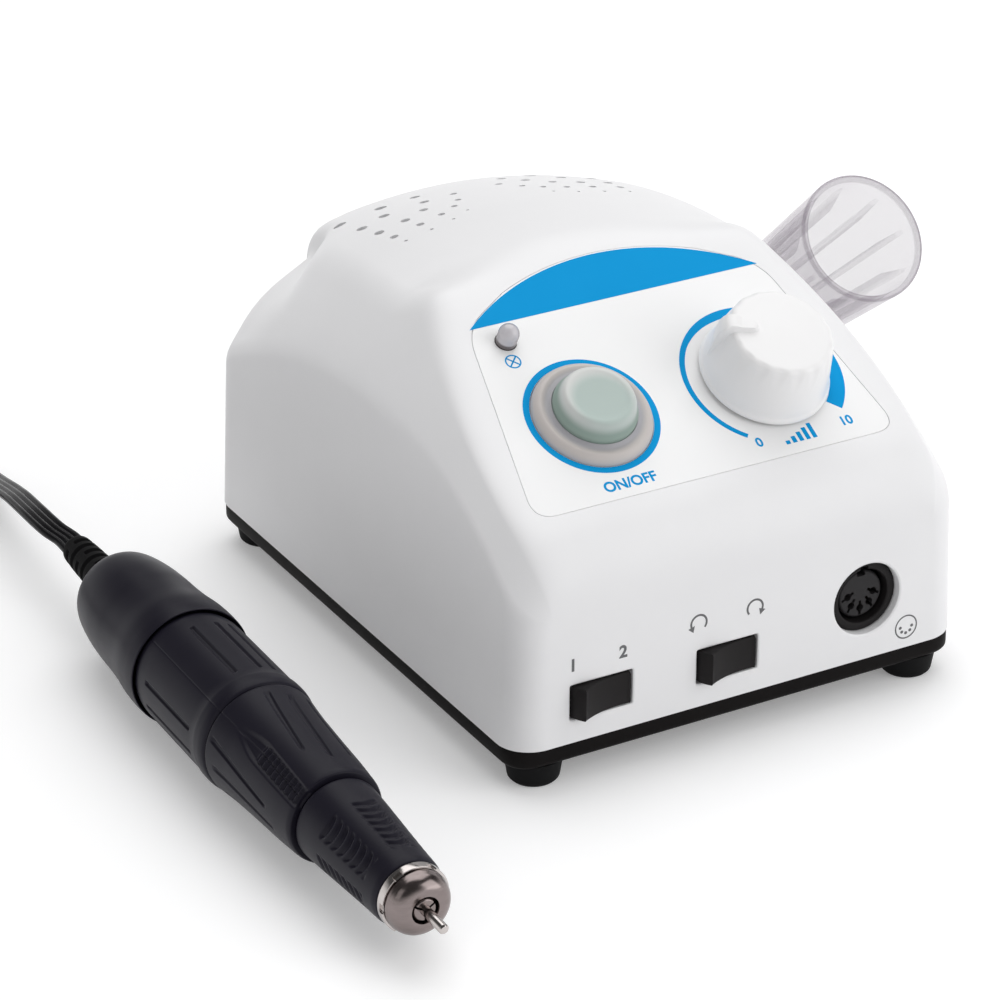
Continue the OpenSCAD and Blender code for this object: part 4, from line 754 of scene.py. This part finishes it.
# Directions of the socket's five contacts, for its sign too
fiveWay = [(math.cos(a), math.sin(a)) for a in np.radians(180 + 45 * np.arange(5))]
motorSign = (44.6, 16.2)
motorMark = [flatRing("ring", motorSign, 2.75, 3.1, frontUp, 48)]
for x, y in fiveWay:
    spot = at(frontUp, motorSign[0] + 1.6 * x, motorSign[1] + 1.6 * y)
    motorMark.append(flatShape("dot", circle(0.4, 24), spot))
printed(merged("motorMark", motorMark), printGrey)
print("label and marks made")

# Lamp, boot and power button
lamp = rounded([(0.05, -4.6), (3.5, -4.6, 0.2), (3.5, -2.6, 0.2), (2.5, -2.6), (2.5, 0.9)])
dome = [(2.5 * math.cos(a), 2.8 + 2.5 * math.sin(a)) for a in np.linspace(0, math.pi / 2, 20)]
lampSpot = at(panel, *panelHoles["lamp"][:2])
# The lamp is opaque and its colour is painted: pale in the middle and dark where the dome turns edge-on, a painted
# reflection with painted shade at the rims, and darker towards the foot, painted shade at its base
edge = lampLook.ramp(lampLook.node("ShaderNodeLayerWeight", {"Blend": 0.4}, "Facing"), 0.25, 0.9)
foot = lampLook.ramp(lampLook.roundAxis(lampSpot)[1], 0.0017, 0.0009)
glassReflectionAndShade = lampLook.between(edge, (0.6, 0.58, 0.61), (0.16, 0.145, 0.16))
lampLook.tint(foot, glassReflectionAndShade, (0.15, 0.13, 0.135))
keep(lathe("warningLamp", np.vstack([lamp, dome]), lampSpot, 64), "control_unit", "lamp_clear", ("warning_lamp",))
lampSeat = rounded([(2.52, -0.3), (2.63, -0.3), (2.63, 0.05), (2.52, 0.1)], True)
keep(lathe("lampSeat", lampSeat, lampSpot, 64, loop=True), "control_unit", "black_plastic")
button = at(panel, *panelHoles["button"][:2])
bootLook = finishes["boot_grey"]
# Towards the button the boot is painted darker and bluer: painted shade in the groove, together with a bluer tint of
# the silicone
grooveShadeAndTint = bootLook.ramp(bootLook.roundAxis(button)[0], 0.0124, 0.0108)
bootLook.tint(grooveShadeAndTint, (0.56, 0.52, 0.5), (0.39, 0.385, 0.41))
bootEdge = rounded([
    (10.3, -4.2), (16.5, -4.2), (16.5, -2.6), (14.35, -2.6), (14.35, 0.4, 0.4), (13.95, 1.3, 0.6), (13.3, 2, 0.6),
    (12.6, 2.4, 0.6), (11.9, 2.25, 0.5), (11.2, 2.1, 0.5), (10.6, 2.4, 0.3), (10.08, 2.7, 0.1), (10.08, 1.5),
    (10.3, 1)
], True)
keep(lathe("buttonBoot", bootEdge, button, 128, loop=True), "control_unit", "boot_grey", ("button_boot",))
buttonLook = finishes["button_green"]
# The button's upper rim is painted pale, more at the back than at the front: a painted highlight. Down the skirt the
# green gets deeper, partly the silicone's tint and partly painted shade
height = buttonLook.roundAxis(button)[1]
rimHighlightReach = buttonLook.ramp(buttonLook.roundAxis(at(button, 0, -1.6))[0], 0.0058, 0.009)
pale = rimHighlightReach * buttonLook.ramp(height, 0.0045, 0.0075)
green = buttonLook.between(buttonLook.ramp(height, 0.0045, 0.0072), (0.265, 0.35, 0.31), (0.43, 0.515, 0.485))
buttonLook.tint(pale, green, (0.66, 0.67, 0.655))
buttonEdge = rounded([
    (0.05, -15), (3, -15), (3, -4.5), (9.6, -4.5, 0.3), (10, -4.1), (10, 3.4, 0.25), (9.85, 3.8, 0.3),
    (9.4, 4.6, 0.8), (8.7, 6.7, 0.8), (8.1, 7.5, 0.6), (7.3, 7.65, 0.7), (6.2, 7.35, 0.9), (0.05, 7.2)
])
keep(lathe("powerButton", buttonEdge, button, 128), "power_button", "button_green", ("power_button",), 45)
print("lamp, boot and button made")

# Speed knob: flutes that fade down the skirt, and a pointer ridge over the top and down the side
knob = {"top": 12.3, "h": 15.5, "gap": 0.8, "flutes": 18, "pointer": 156, "inner": 5.6}


def knobShape(r, z, angle):
    low = knob["gap"] + 2
    rise = np.clip((z - low) / (knob["h"] - low), 0, 1)
    phase = np.abs(wrap(angle * knob["flutes"]) / 180)
    reach = 0.3 + 0.7 * np.clip((rise - 0.5) / 0.5, 0, 1)
    flute = smooth(1 - phase / reach) * smooth((rise - 0.5) / 0.5) * 0.2
    flute = flute * smooth((r - knob["top"] + 1.5) / 1.1)
    side = np.radians(wrap(angle - knob["pointer"]))
    ahead = r * np.cos(side)
    across = np.abs(r * np.sin(side))
    inward = np.clip((knob["top"] - ahead) / (knob["top"] - knob["inner"]), 0, 1)
    wide = mix(0.1, 2, rise) * mix(1, 0.6, inward)
    ridge = smooth((wide - across) / 0.4 + 0.5) * smooth((ahead - knob["inner"] - 0.5 * across ** 2) / 0.7)
    ridge = ridge * mix(0, 2.1, smooth(rise * 1.1)) * mix(1, 0.6, smooth((knob["top"] - r) / 2.5))
    return (ridge - flute * (1 - smooth(ridge * 3))) * (z > low)


knobEdge = rounded([
    (0.05, 4.4), (13, 4.4), (13.4, 0.8), (15.5, 0.8, 0.15), (15.7, 1.1, 0.2), (15.6, 1.8, 0.3), (15.1, 2.4, 0.5),
    (12.65, 13.9, 0.4), (12.2, 15, 0.5), (11.4, 15.5, 0.5), (0.05, 15.7)
], step=0.3)
speedKnob = lathe("speedKnob", knobEdge, at(panel, *panelHoles["bush"][:2]), 540, knobShape)
keep(speedKnob, "speed_knob", "knob_white", ("speed_knob",), 50)
print("knob made")

# Rocker switches, tipped to the left as in the photo
rocker = {"r": 7.85, "h": 8.2, "face": 4.2, "back": 3.4, "hollow": 22.6, "hollowAt": 21.4, "pinY": 2.4, "swing": 11}


def rockerOutline():
    r = rocker["r"]
    lip = math.sqrt(rocker["hollow"] ** 2 - rocker["hollowAt"] ** 2)
    turns = np.linspace(-math.asin(rocker["back"] / r), math.asin(rocker["face"] / r), 12)
    left = [(-r * math.cos(a), -r * math.sin(a)) for a in turns]
    centre = -rocker["face"] - rocker["hollowAt"]
    hollow = [(x, centre + math.sqrt(rocker["hollow"] ** 2 - x * x)) for x in np.linspace(-lip, lip, 17)[1:-1]]
    return np.array(left + hollow + [(-x, y) for x, y in left[::-1]])


half = rocker["h"] / 2
levels = [(-half, -0.5), (-half + 0.15, -0.15), (-half + 0.5, 0), (half - 0.5, 0), (half - 0.15, -0.15), (half, -0.5)]
for name, x, node in (("handFootRocker", windows["handFoot"], "hand_foot_rocker"),
                      ("directionRocker", windows["direction"], "direction_rocker")):
    spot = at(Matrix.Translation((x, rocker["pinY"] - halfD, windows["z"])), 0, 0, rocker["swing"])
    pin = lathe("pin", [(1.2, -5.1), (1.2, 5.1)], spot, 32)
    paddle = merged(name, [prism("paddle", rockerOutline(), levels, spot), pin])
    keep(paddle, node, "black_plastic", (node,))
print("rockers made")

# Motor socket: black ring, deep gap, grey core with five slotted holes and a key notch
socketSpot = at(front, socket["x"], socket["z"])
socketEdge = rounded([
    (0.05, -13), (8, -13), (8, -5), (11.4, -5), (11.4, -2.6), (8.85, -2.6), (8.85, -2.1, 0.2), (8.4, -1.7, 0.3),
    (7.05, -1.7, 0.3), (6.75, -2, 0.2), (6.75, -10), (5.9, -10), (5.9, -3.4), (5.5, -2.9, 0.3), (0.05, -2.9)
])
motorSocket = lathe("motorSocket", socketEdge, socketSpot, 128)
contacts = [at(socketSpot, socket["contactR"] * x, socket["contactR"] * y) for x, y in fiveWay]
slots = [at(c, 0, 0, 28 + 31 * k) for k, c in enumerate(contacts)]
cutOut(motorSocket, circle(0.95, 32), [(-11, 0), (0, 0)], *contacts)
cutOut(motorSocket, plate(3.6, 0.7, 0.1), [(-5.5, 0), (0.1, 0)], *slots)
cutOut(motorSocket, plate(2.2, 3, 0.3, (0, 6.2)), [(-9.9, 0), (-1.4, 0)], socketSpot)
keep(motorSocket, "control_unit", "black_plastic", ("motor_socket", "socket_core"))
motorSocket.data.materials.append(socketGrey.material)
for face in motorSocket.data.polygons:
    middle = face.center / mm
    near = math.hypot(middle.x - socket["x"], middle.z - socket["z"])
    if near < socket["coreR"] and middle.y > socket["coreY"] - halfD:
        face.material_index = 1
print("socket made")

# Handpiece holder: a clear tapered cup with inner fins on a side pivot
cupSize = {"l": 66, "mouthR": 16.2, "endR": 12.8, "wall": 1.6, "fins": 9, "finH": 2.6, "finStart": 5, "finFull": 13,
           "turn": 2, "pivot": 34, "faceIn": 1.3}
slope = (cupSize["mouthR"] - cupSize["endR"]) / cupSize["l"]
cupLook = Finish("cupClear", shine(0.12))
away, height = cupLook.roundAxis(cup)
rim = cupLook.ramp(height, -0.0016, -0.0004)
wall = cupLook.between(cupLook.noise(texture["tint"], 3), (0.3, 0.235, 0.31), (0.34, 0.27, 0.35))
cupLook.tint(rim, wall, (0.22, 0.175, 0.23))
cupLook.rough(0.12, 0.2)
gauge = away - height * slope
outer = cupLook.ramp(gauge, 0.0153, 0.0159)
inside = cupLook.ramp(gauge, 0.0144, 0.014)
facing = cupLook.node("ShaderNodeLayerWeight", {"Blend": 0.5}, "Facing")
cupLook.paint({"Alpha": outer * 0.26 + inside * 0.11 + rim * 0.28 + facing.math("POWER", 5.0) * 0.25 + 0.03})
finishes["cup_clear"] = cupLook
cupEdge = rounded([
    (0.05, -66), (11.8, -66, 0.8), (12.8, -65, 0.8), (16.15, -1.2, 0.4), (16.2, -0.3, 0.3), (15.85, 0, 0.3),
    (14.9, 0, 0.3), (14.6, -0.5, 0.3), (14.6, -8, 1), (11.2, -64, 0.6), (0.05, -64)
], step=3, bends=6)
holder = lathe("holderCup", cupEdge, cup, 144)
bossIn = cupMouth.x - cupSize["mouthR"] + slope * cupSize["pivot"]
bossL = bossIn + cupSize["wall"] - pad["x"] - pad["washer"]
bossSpot = onSide(pad["x"] + pad["washer"])
bossEdge = rounded([(0.05, 0), (pad["r"], 0, 0.3), (pad["r"], bossL), (0.05, bossL)])
carve(holder, [lathe("boss", bossEdge, bossSpot, 64)], "UNION")
cutOut(holder, circle(pad["hole"], 32), [(-2, 0), (14, 0)], bossSpot)
cutOut(holder, circle(4, 48), [(0, 0), (5, 0)], onSide(bossIn + cupSize["faceIn"]))
finEdge = np.array([(11.22 - cupSize["finH"], -63.9), (11.22, -63.9), (14.58, -8), (14.58, -cupSize["finStart"]),
                    (14.3 - cupSize["finH"], -cupSize["finFull"])])
fins = []
for k in range(cupSize["fins"]):
    spot = at(cup, 0, 0, cupSize["turn"] + 360 * k / cupSize["fins"]) @ upright
    fins.append(prism("fin", finEdge, [(-0.6, -0.1), (-0.5, 0), (0.5, 0), (0.6, -0.1)], spot))
holder = merged("holderCup", [holder] + fins)
keep(holder, "handpiece_holder", "cup_clear", ("holder_cup",), 30)
print("holder made")

# Rear face: inlet and fuse holder; the jack stays the model's
inletSpot = at(rear, back["inlet"], -back["z"])
inlet = prism("mainsInlet", plate(32, 24.6, 3), [(0, 0), (1.8, 0), (2.2, -0.15), (2.4, -0.5)], inletSpot)
carve(inlet, [prism("body", plate(26.7, 19.3, 2), [(-14, 0), (1, 0)], inletSpot)], "UNION")
cutOut(inlet, plate(23.6, 16.2, 2.4), [(-11, 0), (2, 0), (2.4, 0.4), (4, 1)], inletSpot)
keep(inlet, "control_unit", "black_plastic", ("mains_inlet",))
fuseSpot = at(rear, back["fuse"], -back["z"])
fuseEdge = rounded([
    (0.05, -16), (5, -16), (5, -5.6), (7.6, -5.6), (7.6, -2.6), (5.85, -2.6), (5.85, 0), (7.2, 0, 0.2), (7.2, 2, 0.4),
    (5.6, 4.4, 0.5), (0.05, 4.4)
])
fuse = lathe("fuseHolder", fuseEdge, fuseSpot, 96)
cutOut(fuse, plate(10, 1.4, 0.2), [(3.4, 0), (6, 0)], fuseSpot)
keep(fuse, "control_unit", "black_plastic", ("fuse_holder",))
print("rear pieces made")

# Handpiece shell. Angles are round its axis, 90 upwards; the seam runs along the upper left
seam = 134


def strip(angle, at, half, r, soft):
    return smooth((half - np.abs(np.radians(wrap(angle - at)) * r)) / soft + 0.5)


def seamLine(angle, r):
    return 0.1 * strip(angle, seam, 0.12, r, 0.2)


capEdge = curved([
    (6.6, 0), (8.6, 0.5), (10.2, 1.8), (11.4, 4), (12.3, 7.6), (13.1, 13), (13.55, 19), (13.75, 24), (14.15, 29.5),
    (14.8, 35), (15, 39), (15, 41), (14.95, 42.2)
])
capLip = rounded([
    (14.95, 42.2), (14.9, 43, 0.4), (14.55, 43, 0.2), (14.45, 42.4, 0.3), (13.2, 29), (11.8, 28.7), (11.8, 10),
    (3.8, 10), (3.8, 0, 0.2), (6.6, 0)
])
rearCap = lathe("rearCap", np.vstack([capEdge, capLip[1:-1]]), hand, 192, loop=True)
keep(rearCap, "handpiece", "hand_black", ("rear_cap",), 50)

relief = {"rows": 6, "start": -2.9, "pitch": 3.3, "wide": 1.35, "deep": 1.15}


def reliefShape(r, z, angle):
    cut = np.zeros(np.broadcast(z, angle).shape)
    for k in range(relief["rows"]):
        middle = relief["start"] - relief["pitch"] * k
        level = band(z, middle - relief["wide"] / 2, middle + relief["wide"] / 2, 0.35)
        for c in (45, 225) if k % 2 else (135, 315):
            cut = np.maximum(cut, level * strip(angle, c, 5.6, 4.5, 0.5))
    return -relief["deep"] * cut


reliefEdge = rounded([
    (0.05, -23), (3.1, -23), (3.75, -22.2, 0.8), (4.1, -17), (4.5, -8), (4.6, -0.6, 0.3), (4.3, -0.1, 0.2),
    (3.6, -0.1), (3.6, 9.2), (0.05, 9.2)
], step=0.16)
keep(lathe("cordRelief", reliefEdge, hand, 160, reliefShape), "handpiece", "rubber_black", ("cord_relief",), 60)

sleeve = {"r": 14.3, "slots": (35, 60, 75, 105, 120, 145), "half": 0.5, "deep": 0.5, "low": 48.7, "high": 71.8}


def sleeveShape(r, z, angle):
    cut = seamLine(angle, sleeve["r"])
    level = sleeve["deep"] * band(z, sleeve["low"], sleeve["high"], 0.8)
    for a in sleeve["slots"]:
        for flip in (-1, 1):
            cut = cut + level * strip(angle, seam + flip * a, sleeve["half"], sleeve["r"], 0.4)
    return -cut * (r > 13)


sleeveEdge = rounded([
    (11.75, 29), (13, 29), (13, 42.4), (13.7, 42.4), (14.05, 43.8, 0.5), (14.15, 48, 1), (14.2, 72.6, 1),
    (14.35, 74.2, 0.6), (14.5, 75.2, 0.6), (14.5, 77.6, 0.8), (14.2, 79.1, 0.6), (13.7, 79.65, 0.2), (11.75, 79.65)
], True, 0.3)
keep(lathe("motorSleeve", sleeveEdge, hand, 640, sleeveShape, True), "handpiece", "hand_black", ("motor_sleeve",), 60)

# Middle grip: a ribbed scoop beside the seam, and lines given by their angles and heights at both ends
grip = {
    "r": 12.4, "scoopLow": 84.5, "scoopL": 31, "scoopTurn": (131, 139), "scoopHalf": (0.2, 2.35), "scoopDeep": 0.9,
    "ribs": (97.6, 115.4), "ribFrom": 98, "ribPitch": 2.05, "ribRise": 0.65,
    "lines": [(89, 101, 82.7, 105.4), (69, 80, 85, 110.7), (159, 176, 82, 106.3), (185, 196, 84, 109),
              (45, 52, 84, 109), (215, 220, 84, 109), (250, 250, 84, 109), (285, 282, 84, 109), (320, 316, 84, 109),
              (20, 22, 84, 109)],
}


def gripShape(r, z, angle):
    outside = (r > 10) * (z > 79.9)
    middle = mix(*grip["scoopTurn"], np.clip((z - grip["scoopLow"]) / grip["scoopL"], 0, 1))
    half = mix(*grip["scoopHalf"], smooth((z - grip["scoopLow"]) / 14))
    scoop = strip(angle, middle, half, grip["r"], 1.5) * smooth((z - 85) / 13) * smooth((117.6 - z) / 1.2)
    ribs = wave(z - grip["ribFrom"], grip["ribPitch"])
    ribs = ribs * band(z, *grip["ribs"], 0.6) * strip(angle, middle, half - 0.35, grip["r"], 0.35)
    ribs = ribs * (1 - strip(angle, middle, 0.25, grip["r"], 0.3))
    cut = seamLine(angle, 13) + grip["scoopDeep"] * scoop - grip["ribRise"] * ribs * scoop
    for start, end, low, high in grip["lines"]:
        t = np.clip((z - low) / (high - low), 0, 1)
        line = strip(angle, mix(start, end, t), mix(0.6, 0.35, t), 12.8, 0.5)
        cut = cut + 0.4 * line * band(z, low, high, 2)
    return -cut * outside


gripEdge = rounded([
    (7.35, 75.1), (11.4, 75.1), (11.4, 79.8), (13.7, 79.8, 0.2), (14, 80.3, 0.4), (13.7, 83.3, 1), (13.2, 88.3, 1.5),
    (12.98, 92, 1.5), (12.6, 98.4, 2), (12.05, 109.1, 2), (11.5, 115.9, 0.6), (11.1, 116.9, 0.3), (7.35, 116.9)
], True, 0.25)
keep(lathe("middleGrip", gripEdge, hand, 640, gripShape, True), "handpiece", "hand_black", ("middle_grip",), 60)

chuck = {"turn": 141.5, "rows": 6, "low": 127, "high": 145.2, "pitch": 2.6, "bow": 0.9, "deep": 0.6}


def chuckShape(r, z, angle):
    outside = (r > 7.6) * (z > 118)
    across = np.abs(wrap((angle - chuck["turn"]) * chuck["rows"]) / chuck["rows"])
    bow = (across / 15) ** 2 * chuck["bow"]
    ribs = wave(z + bow - chuck["low"], chuck["pitch"])
    ribs = ribs ** 1.3 * band(z, chuck["low"], chuck["high"], 1) * smooth((21 - across) / 8)
    return -chuck["deep"] * ribs * outside


chuckEdge = rounded([
    (7.28, 117.4), (9.8, 117.4, 0.2), (10.2, 117.9, 0.4), (9.9, 124.1, 1.5), (9.36, 132.1, 2), (8.7, 142, 2),
    (8.3, 149.5, 0.6), (7.9, 150.8, 0.3), (7.28, 150.8)
], True, 0.22)
keep(lathe("chuckSleeve", chuckEdge, hand, 480, chuckShape, True), "chuck_sleeve", "hand_black", ("chuck_sleeve",), 60)
print("handpiece shell made")

# Nose: notched ring, rounded cap, split collet and the tool's shank
ringEdge = rounded([(7.25, 151.2), (7.95, 151.2, 0.15), (7.95, 153.4, 0.15), (7.25, 153.4)], True)
lockRing = lathe("lockRing", ringEdge, hand, 128, loop=True)
notches = [at(hand, 0, 0, 60 * k) for k in range(6)]
cutOut(lockRing, plate(3, 2.2, 0.2, (9, 0)), [(152.3, 0), (156, 0)], *notches)
keep(lockRing, "handpiece", "bright_steel", ("lock_ring",))
noseEdge = [(3.1, 153.65), (7.4, 153.65), (7.4, 154.4)]
noseEdge += [(3.6 + 3.7 * math.cos(a), 154.4 + 3.6 * math.sin(a)) for a in np.radians(np.linspace(4, 84, 18))]
noseEdge += [(3.6, 158), (3.25, 157.9), (3.1, 157.5)]
keep(lathe("noseCap", noseEdge, hand, 128, loop=True), "handpiece", "steel", ("nose_cap",), 40)
colletEdge = rounded([
    (1.2, 127), (2.2, 127), (2.2, 153.2), (2.7, 157.4, 0.2), (2.35, 157.8, 0.2), (1.2, 157.8)
], True)
collet = lathe("collet", colletEdge, hand, 96, loop=True)
slits = [at(hand, 0, 0, 120 * k + 30) for k in range(3)]
cutOut(collet, plate(6, 0.5, 0.05, (3, 0)), [(143, 0), (160, 0)], *slits)
keep(collet, "spindle", "steel", ("collet",))
shankEdge = rounded([(0.05, 131), (1.175, 131), (1.175, 165.8, 0.05), (0.85, 166.2, 0.05), (0.05, 166.2)])
keep(lathe("toolShank", shankEdge, hand, 64), "spindle", "bright_steel", ("tool_shank",))
print("nose made")

# The coil's tie; the plug stays the model's
tie = {"w": 9, "in": 21.7, "out": 40.6, "top": 4.3, "thick": 0.7}
middleR = (tie["in"] + tie["out"]) / 2
bandLine = plate(tie["out"] - tie["in"] + 2 * tie["thick"], tie["top"], 1.2, (middleR, tie["top"] / 2))
half = tie["w"] / 2
levels = [(-half, -0.1), (-half + 0.2, 0), (half - 0.2, 0), (half, -0.1), (half, -0.55), (-half, -0.55)]
tieSpot = at(Matrix.Translation(coilAt), 0, 0, 270) @ upright
keep(prism("cordTie", bandLine, levels, tieSpot, True), "handpiece", "tie_grey", ("cord_tie",))

for node, obj in frame["nodes"].items():
    if not obj.hide_render:
        obj.data.materials.clear()
        obj.data.materials.append(finishes[slotOf[node]].material)
print("remaining pieces given a finish")

# Pale floor that keeps the shadow, soft studio light, and a white surround in which reflections see a dark ceiling
floor = newPiece("floor", [(-4, -4, 0), (4, -4, 0), (4, 4, 0), (-4, 4, 0)], [[0, 1, 2, 3]])
floorFinish = Finish("floor", {"Roughness": 0.9, "Specular IOR Level": 0.0, "Emission Strength": 0.22})
floorFinish.tint(floorFinish.noise(3), (0.88, 0.88, 0.885), (0.89, 0.89, 0.895))
floorFinish.paint({"Emission Color": floorFinish.between(floorFinish.seen(), (0, 0, 0), (1, 1, 1))})
floor.data.materials.append(floorFinish.material)

world = bpy.data.worlds.new("surround")
scene.world = world
world.use_nodes = True
sky = Graph(world.node_tree)
glow = {}
for name, strength in {"ambient": 0.46, "white": 1.0, "ceiling": 0.08}.items():
    glow[name] = sky.node("ShaderNodeBackground", {"Color": (1, 1, 1, 1), "Strength": strength})
upward = sky.node("ShaderNodeSeparateXYZ", [sky.node("ShaderNodeTexCoord", {}, "Generated")], "Z")
fall = sky.node("ShaderNodeMapRange", {"Value": upward, "From Min": 0.08, "From Max": 0.4})
dark = fall * sky.node("ShaderNodeLightPath", {}, "Is Glossy Ray")
shown = sky.node("ShaderNodeMixShader", {0: dark, 1: glow["white"], 2: glow["ceiling"]})
both = sky.node("ShaderNodeMixShader", {0: sky.seen(), 1: glow["ambient"], 2: shown})
sky.feed(world.node_tree.nodes["World Output"].inputs["Surface"], both)
world.node_tree.nodes.remove(world.node_tree.nodes["Background"])

# Each light's place and size in metres, and its power in watts
lights = {
    "key": ((0.9, -1.05, 0.65), 1.2, 8),
    "top": ((0.35, 0.5, 1.4), 1.6, 13.6),
    "left": ((-1.3, -0.3, 0.8), 0.8, 1.2),
}
for name, (spot, size, power) in lights.items():
    light = bpy.data.lights.new(name, "AREA")
    light.size = size
    light.energy = power
    aimed(bpy.data.objects.new(name, light), spot, (0, 0, 0.05))
scene.view_settings.view_transform = "Standard"
print("stage made")
